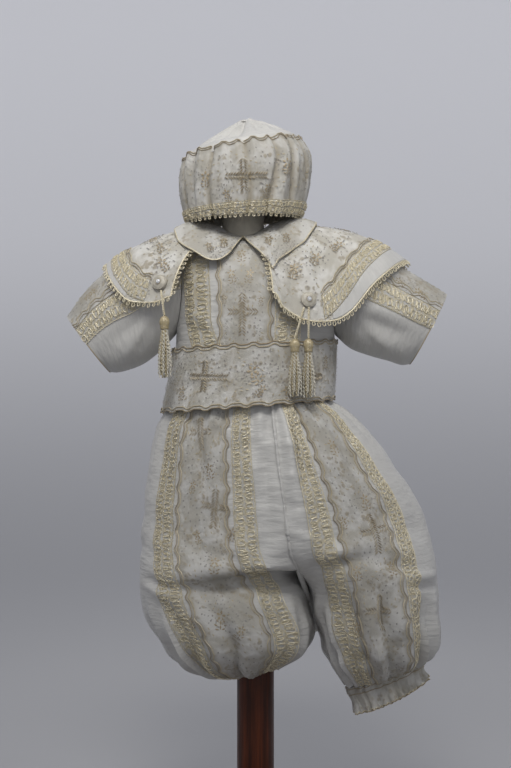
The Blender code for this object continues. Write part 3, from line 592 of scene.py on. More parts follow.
def cut_size(grid):
    """The flat width and length of a grid of cloth, in metres."""
    width, length = flat_grid(grid)[-1, -1]
    return float(width), float(length)


class Ribbon:
    """A strip of trim on a cloth: its two edges are paths of places, and its middle gives its length."""

    def __init__(self, cloth, left, right):
        self.cloth, self.left, self.right = cloth, np.asarray(left, float), np.asarray(right, float)
        middle = cloth.at(*((self.left + self.right) / 2).T)
        step = np.linalg.norm(np.diff(middle, axis=0), axis=1)
        self.stations = np.concatenate([[0], np.cumsum(step)])
        self.length = float(self.stations[-1])
        across = cloth.at(*self.left.T) - cloth.at(*self.right.T)
        self.width = float(np.linalg.norm(across, axis=1).mean())

    def places(self, p, q):
        """Places on the cloth: p from 0 at the left edge to 1 at the right, q in millimetres along."""
        left = np.stack([np.interp(q, self.stations, self.left[:, k]) for k in (0, 1)], -1)
        right = np.stack([np.interp(q, self.stations, self.right[:, k]) for k in (0, 1)], -1)
        found = left + (right - left) * np.asarray(p)[..., None]
        return found[..., 0], found[..., 1]

    def at(self, p, q, lift=0):
        """Points on the strip, lifted off the cloth."""
        across, down = self.places(p, q)
        return self.cloth.at(across, down, np.broadcast_to(lift, np.shape(across)))

    def cut(self):
        """Its flat width and length, in metres."""
        return self.width * MM, self.length * MM

    def normal(self, p, q):
        """Unit normals of the cloth under the strip."""
        return self.cloth.normal(*self.places(p, q))

    def panel(self, mesh, rows, columns, low, thickness, wave=(0, 0)):
        """The strip itself, its edges waving out by so many millimetres with that period."""
        q, p = np.meshgrid(np.linspace(0, self.length, rows), np.linspace(0, 1, columns), indexing="ij")
        height, period = wave
        mesh.shade = 0
        if height:
            edge = np.minimum(p, 1 - p) * self.width
            mesh.shade = np.tile(smooth(7, 2.5, edge).ravel(), 2)
            p = p + scallop(q, period) * height / self.width * (2 * p - 1)
        outer = self.at(p, q, low + thickness)
        return mesh.shell(outer, self.normal(p, q), thickness, flat=flat_grid(outer))


def scallop(along, period):
    """A scalloped line: a cosine whose dips are broad and whose tips are narrow."""
    turn = along * TAU / period + 0.35 * np.sin(along * 0.9 / period)
    return np.cos(turn) * 0.75 + np.cos(2 * turn) * 0.25


# ---------------------------------------------------------------- stitches, loops and cords


def wavy_lines(mesh, ribbon, p, outward_side, lift):
    """Two scalloped cords side by side: a dark one at the very edge and a lighter one inside it."""
    sizes = bpy.context.scene.suit_sizes
    period, height = sizes.wave_period / MM, sizes.wave_height / MM
    q = np.linspace(0, ribbon.length, max(int(ribbon.length / 0.9), 8))
    for inset, radius, shade in ((0, 0.42, 0.7), (2.6, 0.58, 0.28)):
        mesh.shade = shade
        where = p + (scallop(q, period) * height - inset) * outward_side / ribbon.width
        mesh.tube(ribbon.at(where, q, lift), ribbon.normal(where, q), radius, 4)


def looped_braid(mesh, ribbon, lift):
    """Two columns of gold thread curled back over itself, and a ticked cord along each edge.

    Each curl is a trochoid: the thread goes forward while it circles. Two threads share each column, half
    a curl apart, and a pale gap is left between the columns.
    """
    sizes = bpy.context.scene.suit_sizes
    pitch, thread = sizes.loop_pitch / MM, sizes.braid_thread / MM / 2
    for middle, share, flip, phase, stretch in (
        (0.25, 0.19, 1, 0, 1), (0.27, 0.15, -1, 2.4, 1.22),
        (0.75, 0.19, -1, 0.7, 1.06), (0.73, 0.15, 1, 3.3, 1.27),
    ):
        count = max(int(ribbon.length / (pitch * stretch)), 2)
        turn = np.linspace(0, TAU * count, 9 * count)
        uneven = 0.14 * np.sin(turn * 0.173 + middle * 9) + 0.1 * np.sin(turn * 0.41 + middle * 5)
        q = ribbon.length * turn / (TAU * count) + 0.42 * pitch * np.sin(turn + phase) * flip
        p = middle + share * (1 + uneven) * np.cos(turn + phase)
        height = lift + thread * (1 + 0.9 * np.sin(turn * 0.5 + phase)) + 0.2
        mesh.shade = 0 if stretch < 1.1 else 0.12
        mesh.tube(ribbon.at(p, np.clip(q, 0, ribbon.length), height), ribbon.normal(p, q), thread, 3)
    q = np.linspace(0, ribbon.length, int(ribbon.length / 1.1))
    for p, way in ((0, -1), (1, 1)):
        mesh.shade = 0.05
        where = p + way * 0.035 * np.abs(np.sin(q * 0.95 + p))
        mesh.tube(ribbon.at(where, q, lift + 0.15), ribbon.normal(where, q), thread, 3)


def stitches(mesh, cloth, drawn, aims, spot, side, lift, length, width, height=0.4):
    """Raised stitches at drawn places round a spot (x, z, turn), each pointing along its aim."""
    x, z, turn = spot
    points, out = cloth.lay(drawn, x, z, turn, 1, side, lift)
    ahead, _ = cloth.lay(drawn + aims * 0.3, x, z, turn, 1, side, lift)
    along = ahead - points
    along /= np.maximum(np.linalg.norm(along, axis=1, keepdims=True), 1e-9)
    mesh.dots(points, out, along, length, width, height)


def stitch_cross(mesh, cloth, x, z, height=38, width=28, turn=0, side=-1, lift=1.25, arm=7.6, step=2.6):
    """A cross in herringbone: two rows of slanted stitches lean together along each bar."""
    for start, end, upright in ((-0.58 * height, 0.42 * height, True), (-width / 2, width / 2, False)):
        spot = np.arange(start + step / 2, end, step)
        if not upright:
            spot = spot[np.abs(spot) > arm * 0.4]
        for half in (-1, 1):
            sideways = half * arm * (0.25 + 0.02 * np.sin(spot * 1.3))
            drawn = np.stack([sideways, spot] if upright else [spot, sideways], 1)
            slant = np.array([half * 0.72, -0.7] if upright else [0.7, half * -0.72])
            mesh.shade = 0.4 + 0.05 * half
            aims = np.tile(slant, (len(spot), 1))
            stitches(mesh, cloth, drawn, aims, (x, z, turn), side, lift, arm * 0.38, 0.6, 0.7)


# Leaves of a sprig: sideways and upwards from its eye, then the way each points
LEAVES = np.array([
    [-2.2, -3.6, -1, 0.7], [2.2, -3.4, 1, 0.7], [-2.8, -6.4, -1, 0.5], [2.9, -6, 1, 0.5],
    [-1.9, -9, -1, 0.2], [2.1, -8.6, 1, 0.3], [0, -4.6, 0, 1], [0, -7.6, 0, 1],
])


def stitch_flower(mesh, cloth, x, z, size=1, turn=0, side=-1, lift=1):
    """Five double petals round an eye over a stem with three pairs of leaves, each a long raised stitch."""
    petals = np.radians(np.arange(5) * 72 + 90)
    ways = np.stack([np.cos(petals), np.sin(petals)], 1)
    for drawn, aims, shade, length, width in (
        (ways * 2.3, ways, 0.4, 1.7, 0.95), (ways * 4.6, ways, 0.9, 0.9, 0.5),
        (LEAVES[:, :2], LEAVES[:, 2:], 0.5, 1.7, 0.6),
    ):
        mesh.shade = shade
        stitches(mesh, cloth, drawn * size, aims, (x, z, turn), side, lift, length * size, width * size)


def stitch_fan(mesh, cloth, x, z, rays, rings, first, step, start=0, sweep=360, side=-1, lift=0.95):
    """Small stitches on rays that fan out round a middle, a little uneven."""
    ray, ring = np.meshgrid(np.arange(rays), np.arange(rings), indexing="ij")
    angle = np.radians(start + sweep * ray / max(rays - (sweep < 360), 1) + 5 * np.sin(ring * 2.1 + ray))
    reach = first + step * ring + 0.5 * np.sin(ray * 3.7 + ring)
    aims = np.stack([np.cos(angle), np.sin(angle)], -1).reshape(-1, 2)
    mesh.shade = 0.95
    stitches(mesh, cloth, aims * reach.reshape(-1, 1), aims, (x, z, 0), side, lift, 1, 0.6)


def strewn(mesh, ribbon, lift, repeat=42, seed=0, margin=5.5):
    """Small stitches strewn over the lace between its edges, crowding into sprays that come round again."""
    rows, columns = max(int(ribbon.length / 6.4), 1), max(int((ribbon.width - 2 * margin) / 6.2), 1)
    r, c = np.meshgrid(np.arange(rows), np.arange(columns), indexing="ij")
    q = (r + 0.5) * ribbon.length / rows + 1.2 * np.sin(c * 2.4 + r * 1.1 + seed)
    p = (c + 0.35 + 0.3 * (r % 2) + 0.25 * np.sin(r * 1.7 + c * 3.1 + seed)) / columns
    spray = np.sin(q * TAU / repeat + 1.6 * np.cos(p * TAU) + seed)
    lean = np.where(p < 0.5, -1, 1) * (0.5 + 0.5 * np.sin(q * TAU / repeat)) + 0.3 * np.sin(r * 5.1 + c)
    p = (margin + p * (ribbon.width - 2 * margin)) / ribbon.width
    for keep, shade, length, width in ((spray > -0.1, 0.92, 1.15, 0.9), (spray < -0.45, 0.3, 1.8, 0.65)):
        at, along_q, turned = p[keep], q[keep], lean[keep]
        points, out = ribbon.at(at, along_q, lift), ribbon.normal(at, along_q)
        along = ribbon.at(at, along_q + 0.4, lift) - points
        along /= np.maximum(np.linalg.norm(along, axis=1, keepdims=True), 1e-9)
        along = along * np.cos(turned)[:, None] + np.cross(out, along) * np.sin(turned)[:, None]
        mesh.shade = shade
        mesh.dots(points, out, along, length, width, 0.3)


# ---------------------------------------------------------------- finishes


class Finish:
    """A procedural material, built node by node."""

    def __init__(self, name):
        self.made = bpy.data.materials.new(name)
        self.made.use_nodes = True
        self.tree = self.made.node_tree
        self.shader = self.tree.nodes["Principled BSDF"]
        self.places = self.tree.nodes.new("ShaderNodeTexCoord")

    def set(self, **values):
        """Sets constants on the shader's own sockets."""
        for name, value in values.items():
            self.shader.inputs[name.replace("_", " ")].default_value = value
        return self

    def node(self, kind, inputs=None, **settings):
        """A node with its inputs, which are links or constants, and its settings."""
        made = self.tree.nodes.new("ShaderNode" + kind)
        for name, value in settings.items():
            setattr(made, name, value)
        for name, value in (inputs or {}).items():
            if isinstance(value, bpy.types.NodeSocket):
                self.tree.links.new(value, made.inputs[name])
            else:
                made.inputs[name].default_value = value
        return made

    def mapped(self, scale, flat=True):
        """Flat-cloth or object coordinates times a scale."""
        source = self.places.outputs["UV" if flat else "Object"]
        return self.node("Mapping", {"Vector": source, "Scale": scale}).outputs["Vector"]

    def noise(self, scale, detail=2, flat=True, roughness=0.5):
        """Soft noise, from 0 to 1."""
        vector = self.mapped(scale, flat)
        return self.node(
            "TexNoise", {"Vector": vector, "Scale": 1, "Detail": detail, "Roughness": roughness}
        ).outputs["Fac"]

    def cells(self, scale, feature="F1", randomness=1):
        """Distances in a field of cells on the flat cloth."""
        vector = self.mapped(scale)
        return self.node(
            "TexVoronoi", {"Vector": vector, "Scale": 1, "Randomness": randomness}, feature=feature
        ).outputs["Distance"]

    def ramp(self, value, low, high, first=0, last=1):
        """A smooth step of a value between two ends."""
        return self.node(
            "MapRange", {"Value": value, "From Min": low, "From Max": high, "To Min": first, "To Max": last},
            interpolation_type="SMOOTHSTEP",
        ).outputs["Result"]

    def mix(self, share, first, second):
        """A colour between two colours or links."""
        made = self.node("Mix", {"Factor": share}, data_type="RGBA")
        for slot, value in ((6, first), (7, second)):
            if isinstance(value, bpy.types.NodeSocket):
                self.tree.links.new(value, made.inputs[slot])
            else:
                made.inputs[slot].default_value = (*value, 1)
        return made.outputs[2]

    def sum(self, first, second, operation="ADD"):
        """The sum, or another operation, of two links or numbers."""
        made = self.node("Math", operation=operation)
        for slot, value in ((0, first), (1, second)):
            if isinstance(value, bpy.types.NodeSocket):
                self.tree.links.new(value, made.inputs[slot])
            else:
                made.inputs[slot].default_value = value
        return made.outputs[0]

    def times(self, first, second):
        """The product of two links or numbers."""
        return self.sum(first, second, "MULTIPLY")

    def finish(self, colour=None, height=None, distance=0.0003, strength=0.5, roughness=None):
        """Links colour, roughness and bump to the shader."""
        if colour is not None:
            self.tree.links.new(colour, self.shader.inputs["Base Color"])
        if roughness is not None:
            self.tree.links.new(roughness, self.shader.inputs["Roughness"])
        if height is not None:
            bump = self.node("Bump", {"Height": height, "Distance": distance, "Strength": strength})
            self.tree.links.new(bump.outputs["Normal"], self.shader.inputs["Normal"])
        return self.made


def scaled(colour, gain):
    """A colour made lighter or darker."""
    return tuple(value * gain for value in colour)


def blended(first, second):
    """The mean of two colours."""
    return tuple((a + b) / 2 for a, b in zip(first, second))


def finished(name):
    """A finish by name, made the first time it is asked for."""
    return bpy.data.materials.get(name) or FINISHES[name]()


def ivory_satin():
    """Satin with slubs along one thread, a fine rib of bump and faint cloudiness."""
    colours = bpy.context.scene.suit_colours
    made = Finish("ivory_satin").set(Roughness=0.42, Sheen_Weight=0.1, Specular_IOR_Level=0.36)
    slub = made.noise((26, 620, 1), 3)
    cloud = made.noise((24, 24, 1), 2)
    rib = made.noise((2600, 420, 1), 1)
    rumple = made.noise((60, 190, 1), 3)
    light, dark = colours.satin, scaled(colours.satin, 0.93)
    colour = made.mix(made.ramp(made.sum(slub, cloud), 0.75, 1.25), dark, light)
    height = made.sum(made.times(slub, 0.5), made.times(rib, 0.3))
    height = made.sum(height, made.times(rumple, 6))
    rough = made.ramp(cloud, 0.35, 0.7, 0.34, 0.48)
    return made.finish(colour, height, 0.0004, 0.6, rough)


# A gain above 1 makes a lighter copy of the lace: painted light
def net_lace(name="net_lace", gain=1):
    """A fine net over satin, with tan worked flowers, small grey eyelets and warm bands along its edges. Its
    cloudy ground and warm patches are partly painted shadow, and on the cap the shade attribute paints warm
    shade into the valleys of its folds.
    """
    colours = bpy.context.scene.suit_colours
    made = Finish(name).set(Roughness=0.66, Sheen_Weight=0.2, Specular_IOR_Level=0.25)
    net = made.cells((950, 950, 1), "DISTANCE_TO_EDGE", randomness=0.25)
    cloud = made.noise((40, 34, 1), 3, roughness=0.6)
    patch = made.noise((52, 44, 1), 3, roughness=0.55)
    petals = made.cells((210, 180, 1), randomness=0.9)
    specks = made.cells((165, 165, 1), randomness=0.8)
    # Shade attribute: warm bands along the lace's edges, and on the cap painted shade by fold depth
    edge = made.node("Attribute", attribute_name="shade").outputs["Fac"]
    # Painted shadow: the cloudy darker ground is partly the lace's own grey and partly painted shadow of its
    # crumples
    ground = made.mix(made.ramp(cloud, 0.4, 0.6), scaled(colours.lace_grey_and_shadow, gain),
                      scaled(colours.lace, gain))
    worked = made.times(made.ramp(patch, 0.5, 0.58), made.ramp(petals, 0.3, 0.55, 0.85, 0.15))
    worked = made.sum(worked, made.times(edge, 0.45), "MAXIMUM")
    # The warm tan is partly worked flowers and edge bands, partly painted shade in shadowed patches and in
    # the cap's fold valleys
    ground = made.mix(worked, ground, colours.lace_tan_and_shadow)
    lines = made.mix(made.ramp(net, 0.04, 0.2, 0.25, 0), ground, colours.satin)
    shown = made.times(made.ramp(specks, 0.12, 0.2, 0.6, 0), made.ramp(patch, 0.46, 0.4))
    colour = made.mix(shown, lines, colours.grey_thread)
    height = made.sum(made.ramp(net, 0.02, 0.22, 1, 0), made.ramp(petals, 0.2, 0.6, 1, 0))
    height = made.sum(height, made.times(made.sum(cloud, patch), 2.6))
    return made.finish(colour, height, 0.0007, 0.7)


def painted_light_lace():
    """The capelets' lace: the same lace made 1.2 times lighter, painted light where the capelets face the
    light from above.
    """
    return net_lace("painted_light_lace", 1.2)


def gold_gauze():
    """The ground of the braid: pale cream gauze with a coarse rib and a little gold in it."""
    colours = bpy.context.scene.suit_colours
    made = Finish("gold_gauze").set(Roughness=0.55, Specular_IOR_Level=0.4)
    rib = made.noise((900, 500, 1), 2)
    cloud = made.noise((240, 240, 1), 3)
    warm = blended(colours.gold, colours.cream)
    colour = made.mix(made.ramp(cloud, 0.35, 0.62), scaled(warm, 0.72), scaled(colours.satin, 0.86))
    return made.finish(colour, rib, 0.0005, 0.6)


def stitch_thread():
    """Twisted thread in the colour that each stitch carries: gold, then tan, then grey, with cream flecks
    painted as glints on the gold.
    """
    colours = bpy.context.scene.suit_colours
    made = Finish("stitch_thread").set(Roughness=0.42, Metallic=0.1, Specular_IOR_Level=0.5)
    shade = made.node("Attribute", attribute_name="shade").outputs["Fac"]
    glint = made.noise((1500, 1500, 1500), 2, flat=False)
    # Painted glints: random cream flecks on the gold thread
    gold = made.mix(made.ramp(glint, 0.3, 0.62), colours.gold, colours.cream)
    warm = made.mix(made.ramp(shade, 0.1, 0.45), gold, colours.tan)
    colour = made.mix(made.ramp(shade, 0.6, 0.95), warm, colours.grey_thread)
    return made.finish(colour, glint, 0.0003, 0.6)


def gold_cord():
    """Bullion cord of the tassels: gold and cream strands turned together."""
    colours = bpy.context.scene.suit_colours
    made = Finish("gold_cord").set(Roughness=0.36, Metallic=0.12, Specular_IOR_Level=0.55)
    grain = made.noise((700, 700, 700), 3, flat=False)
    strand = made.node("Attribute", attribute_name="shade").outputs["Fac"]
    share = made.ramp(made.sum(grain, strand), 0.5, 0.9)
    light = blended(colours.satin, colours.cream)
    colour = made.mix(share, scaled(colours.gold, 0.8), light)
    return made.finish(colour, grain, 0.0004, 0.7)


def button_satin():
    """Satin gone beige, drawn tight over the buttons."""
    made = Finish("button_satin").set(Roughness=0.38, Specular_IOR_Level=0.45)
    cloud = made.noise((300, 300, 300), 3, flat=False)
    light = bpy.context.scene.suit_colours.button
    weave = made.noise((2200, 2200, 700), 1, flat=False)
    colour = made.mix(made.ramp(cloud, 0.35, 0.65), scaled(light, 0.8), light)
    return made.finish(colour, weave, 0.0002, 0.4)


def clear_stone():
    """A clear cut stone with a faint tint."""
    made = Finish("clear_stone").set(Roughness=0.04, Transmission_Weight=0.35, IOR=1.6)
    tint = made.noise((300, 300, 300), 1, flat=False)
    return made.finish(made.mix(made.ramp(tint, 0.4, 0.6), (0.7, 0.72, 0.74), (0.95, 0.96, 0.97)))


def form_jersey():
    """Grey jersey stretched over the form: fine ribs with a soft mottle."""
    colours = bpy.context.scene.suit_colours
    made = Finish("form_jersey").set(Roughness=0.85, Sheen_Weight=0.2, Specular_IOR_Level=0.2)
    mottle = made.noise((60, 60, 60), 3, flat=False)
    knit = made.noise((1400, 1400, 500), 1, flat=False)
    dark = scaled(colours.form, 0.82)
    return made.finish(made.mix(made.ramp(mottle, 0.35, 0.65), dark, colours.form), knit, 0.0003, 0.5)


def dark_wood():
    """Stained wood whose grain runs up the post, with a thin worn varnish."""
    colours = bpy.context.scene.suit_colours
    made = Finish("dark_wood").set(Coat_Weight=0.12, Coat_Roughness=0.3, Specular_IOR_Level=0.25)
    grain = made.noise((210, 210, 9), 6, flat=False, roughness=0.65)
    pores = made.noise((900, 900, 40), 2, flat=False)
    dark, light = scaled(colours.wood, 0.45), scaled(colours.wood, 1.5)
    colour = made.mix(made.ramp(grain, 0.35, 0.68), dark, light)
    return made.finish(colour, made.sum(grain, pores), 0.0004, 0.4, made.ramp(pores, 0.3, 0.7, 0.3, 0.5))


FINISHES = {
    maker.__name__: maker
    for maker in (ivory_satin, net_lace, painted_light_lace, gold_gauze, stitch_thread, gold_cord, button_satin,
                  clear_stone, form_jersey, dark_wood)
}


# ---------------------------------------------------------------- the suit's cloths


def leg_rings(name, columns, folded=True):
    """A leg's levels, from its front seam (-1) round the outer side (0) to its back seam (1).

    Round each level the cloth follows a half-opened oval: x goes by 1 minus the cosine of the angle, y by
    the sine, so that the seam end is flat at the top and turned right under the seat lower down. The cross
    fold is a squared cosine added to the front's depth.
    """
    turn = np.linspace(-1, 1, columns)
    rings = []
    for x_out, z_out, x_seam, z_seam, spread, front, back, _, fold in LEGS[name]:
        angle = np.abs(turn) * np.radians(spread)
        share = (1 - np.cos(angle)) / (1 - np.cos(np.radians(spread)))
        y = np.sin(angle) * np.where(turn < 0, -front, back)
        reach = (np.abs(share - FOLD_MIDDLE) / FOLD_WIDTH).clip(0, 1)
        y = y + folded * fold * np.cos(reach * np.pi / 2) ** 2 * smooth(-1, -25, y)
        rings.append(np.stack([x_out + (x_seam - x_out) * share, y, z_out + (z_seam - z_out) * share], 1))
    return np.array(rings)


def leg_cloth(name, columns=134, rows=102):
    """A leg's levels carried down into one cloth."""
    inside = (-30, 0, 300) if name == "right" else (100, 0, 290)
    return Cloth(carry_down(leg_rings(name, columns), rows), (-1, 1), (0, 1), inside)


def leg_stations(name, columns=190):
    """How far down the leg each row of its table lies, from 0 to 1, with its spread and its slide."""
    table = np.array(LEGS[name])
    way = np.linalg.norm(np.diff(leg_rings(name, columns, folded=False), axis=0), axis=2).mean(axis=1)
    stations = np.concatenate([[0], np.cumsum(way)])
    return stations / stations[-1], table[:, 4], table[:, 7]


def leg_place(name, share, down):
    """Where a share of the front's width lies across the leg; the trims slide towards the seam lower down."""
    stations, spreads, slides = leg_stations(name)
    spread = np.radians(np.interp(down, stations, spreads))
    slide = np.interp(down, stations, slides)
    moved = np.clip(share + slide * np.sqrt(np.sin(np.pi * share)), 0, 1)
    return -np.arccos(np.clip(1 - moved * (1 - np.cos(spread)), -1, 1)) / spread


def leg_ribbon(cloth, name, shares, top=0.075, foot=1):
    """A trim's strip down a leg, between two shares of its front's width."""
    down = np.linspace(top, foot, 90)
    return Ribbon(cloth, *(course(leg_place(name, share, down), down) for share in shares))


def bodice_cloth(side, columns=101, rows=58):
    """Half the bodice from the right side seam to the left; side is -1 in front and 1 behind.

    Each level is half an oval, and the columns next to the seams step aside round the armholes.
    """
    spots = np.linspace(0, 180, columns)
    rings = []
    for z_side, z_middle, right, left, depth in BODICE:
        half_open = max(1 - ((z_side - ARM_Z) / ARM_HALF_HEIGHT) ** 2, 0)
        edge = np.degrees(np.arcsin(ARM_HALF_DEPTH * half_open**0.5 / depth))
        squeeze = (ARM_EDGE - edge) / ARM_EDGE
        from_seam = np.minimum(spots, 180 - spots)
        moved = np.where(from_seam < ARM_EDGE, edge + from_seam * squeeze, from_seam)
        angles = np.radians(np.where(spots < 90, moved, 180 - moved))
        x = (right + left) / 2 - (left - right) / 2 * np.cos(angles)
        dip = (z_middle - z_side) * (BACK_DIP if side > 0 else 1)
        y = side * (depth * np.sin(angles) + GAP)
        rings.append(np.stack([x, y, z_side + dip * np.sin(angles) ** 2], 1))
    return Cloth(carry_down(np.array(rings)[::-1], rows), (0, 180), (0, 1), (0, 0, 500))


def sleeve_cloth(name, columns=110, rows=44):
    """A sleeve from the armhole's oval out to the cuff's, wrapped round from its upper edge."""
    side = -1 if name == "right" else 1
    angles = around(columns)
    z = ARM_Z + (ARM_HALF_HEIGHT - GAP) * np.cos(angles)
    y = -(ARM_HALF_DEPTH - GAP) * np.sin(angles)
    levels, _, right, left, depth = np.array(BODICE[:9]).T
    middle, half = (np.interp(z, levels, k) for k in ((left + right) / 2, (left - right) / 2))
    flat = np.sqrt(1 - (y / np.interp(z, levels, depth)) ** 2)
    first = np.stack([middle + side * (half * flat + 2 * GAP), y, z], 1)
    rings = np.concatenate([first[None], ends_of(SLEEVES[name], angles)])
    return Cloth(carry_down(rings, rows), (0, 360), (0, 1), (side * 120, 0, 520), wrap=True)


def neck_ring(directions):
    """The neckline; directions are degrees from the front towards the wearer's left."""
    turn = np.radians(directions)
    dip = NECK_DIP * np.where(np.cos(turn) > 0, 1, BACK_DIP) * np.cos(turn) ** 2
    return np.stack([NECK_X + NECK_RADIUS * np.sin(turn), -NECK_RADIUS * np.cos(turn), NECK_BACK_Z - dip], -1)


def cape_point(directions, reach):
    """A bent line from the neckline to the hem in each direction: a curve pulled towards one point."""
    table = np.array(CAPE, float)
    found = carried(table[:, 0], table[:, 1:], np.ravel(directions)).reshape(*np.shape(directions), 5)
    hem, out, down = found[..., :3], found[..., 3], found[..., 4]
    neck = neck_ring(directions)
    bend = neck + (hem - neck) * np.stack([out, out, down], -1)
    t = np.asarray(reach)[..., None]
    return (1 - t) ** 2 * neck + 2 * t * (1 - t) * bend + t**2 * hem


def cape_cloth(name, columns=170, rows=48):
    """A capelet, from the neckline down to its hem."""
    first, last = CAPE_SPANS[name]
    directions, reach = np.meshgrid(np.linspace(first, last, columns), np.linspace(0, 1, rows))
    return Cloth(cape_point(directions, reach), (first, last), (0, 1), (0, 0, 540))


def collar_cloth(name, columns=120, rows=20):
    """A collar laid on the cape: it stands off it, and rolls up a little over the shoulders."""
    table = np.array(COLLARS[name])
    spots = np.linspace(0, len(table) - 1, columns)
    at_neck, at_edge, reach = carried(np.arange(len(table)), table, spots).T
    steps = np.linspace(0, 1, rows)[:, None]
    grid = cape_point(at_neck + (at_edge - at_neck) * steps, reach * steps)
    cloth = Cloth(grid, (0, len(table) - 1), (0, 1), (NECK_X, 0, 540))
    cloth.grid = cloth.grid + cloth.out * COLLAR_LIFT
    sideways = np.sin(np.radians(at_neck)) ** 2
    cloth.grid[..., 2] += COLLAR_ROLL * sideways * np.sin(np.pi * steps * 0.9)
    cloth.out = cloth.turned_out()
    return cloth


def ring_cloth(table, inside, columns, rows):
    """A band of cloth round a table of ovals."""
    return Cloth(carry_down(ends_of(table, around(columns)), rows), (0, 360), (0, 1), inside, wrap=True)


def crown_cloth(columns=160, rows=40):
    """The cap's crown: the band's upper ring drawn in and up to a small peak."""
    band = ends_of(HAT_BAND, around(columns))
    out = Cloth(band, (0, 360), (0, 1), (HAT_APEX[0], 0, 640), wrap=True).out
    seat = band[0] - out[0] * (SATIN + 2 * GAP)
    middle = seat[:-1].mean(axis=0)
    rings = [
        middle + (seat - middle) * size + (np.array(HAT_APEX) - middle) * rise
        for size, rise in zip(HAT_CROWN_SIZES, HAT_CROWN_RISE, strict=True)
    ]
    return Cloth(carry_down(np.array(rings), rows), (0, 360), (0, 1), (HAT_APEX[0], 0, 640), wrap=True)


def sewn(mesh, name, finish, slot, nodes, flat, held, rests_on, with_pieces=()):
    """A finished sheet of cloth."""
    made = mesh.piece(name, finished(finish), slot, nodes)
    return made


# Creases: x and z of one end, x and z of the other, reach to the left and right, height
LEG_CREASES = {
    "right": (
        (-62, 421, -64, 398, 5, 3, -3), (-30, 423, -33, 394, 4, 6, -3.5),
        (-36, 412, -24, 392, 4, 5, 2.4), (-55, 402, -46, 340, 6, 9, -3.2),
        (-44, 392, -40, 332, 8, 8, 2), (-5, 422, -2, 380, 5, 6, -2.2),
        (4, 420, 6, 388, 3, 4, 1.8), (-84, 410, -92, 340, 7, 7, -2),
        (-1, 396, 16, 399, 1.6, 2.6, 0.9), (1, 387, 17, 390, 1.4, 2.4, 1.2),
        (4, 377, 18, 378, 2.2, 1.4, 0.8), (-3, 366, 19, 370, 1.6, 2.6, 1.3),
        (6, 357, 20, 360, 1.4, 2.4, 0.9), (0, 345, 22, 350, 2.4, 1.6, 1.3),
        (8, 337, 24, 340, 1.4, 2, 0.8), (-2, 325, 25, 330, 1.6, 2.8, 1.4),
        (8, 316, 26, 319, 1.6, 2.2, 0.9), (0, 303, 28, 309, 2.6, 1.6, 1.5),
        (10, 295, 30, 298, 1.4, 2.4, 1), (-4, 284, 31, 288, 3, 1.8, 1.5),
        (-6, 274, 46, 271, 11, 2.2, 4.4), (-10, 264.5, 44, 263, 2.2, 9, -6),
        (-64, 251, 0, 260, 6, 9, -4.5), (-70, 262, -16, 272, 8, 6, 2.6),
        (-108, 250, -74, 240, 4, 5, 2.8), (-107, 257, -78, 249, 4, 5, -2.6),
        (-60, 316, -52, 282, 8, 10, -2.2), (-22, 318, -12, 276, 9, 7, 1.8),
        (-86, 232, -52, 190, 6, 8, -3.4), (-62, 238, -30, 184, 8, 6, 2.6),
        (-40, 238, -8, 178, 6, 8, -3.4), (-10, 244, 8, 182, 7, 6, 2.4),
        (12, 246, 22, 188, 6, 6, -3), (34, 240, 36, 196, 6, 5, 2.2),
        (-96, 214, -66, 178, 6, 6, 2), (4, 432, 13, 292, 8, 4.5, -3),
    ),
    "left": (
        (29, 424, 46, 284, 4.5, 8, 3.4), (34, 300, 66, 222, 6, 9, 3),
        (80, 408, 98, 388, 6, 5, -2.2), (40, 412, 52, 350, 6, 8, -2.6),
        (30, 410, 36, 340, 7, 6, 1.8), (62, 405, 92, 352, 7, 8, 2.2),
        (74, 398, 106, 346, 7, 6, -2.4), (24, 390, 40, 386, 3, 3, 1.5),
        (27, 360, 46, 358, 3, 4, 1.5), (29, 330, 50, 330, 4, 3, -1.6),
        (33, 306, 56, 300, 3, 4, 1.8), (60, 270, 118, 284, 6, 8, -4.2),
        (56, 281, 112, 296, 8, 6, 2.6), (112, 279, 150, 268, 7, 6, -3.4),
        (118, 291, 154, 280, 6, 7, 2.2), (146, 262, 180, 258, 5, 6, 3),
        (150, 252, 181, 249, 5, 5, -3.2), (164, 246, 166, 190, 5, 6, -3),
        (152, 250, 154, 188, 6, 5, 2.6), (174, 240, 176, 196, 4, 5, 2.2),
        (84, 252, 108, 170, 7, 9, -3.6), (98, 262, 122, 174, 8, 7, 2.8),
        (116, 250, 134, 176, 6, 8, -3.4), (132, 248, 144, 184, 7, 6, 2.4),
        (66, 236, 92, 162, 6, 7, 2.6), (58, 222, 78, 178, 6, 6, -2.6),
        (150, 330, 168, 290, 8, 8, -2),
    ),
}
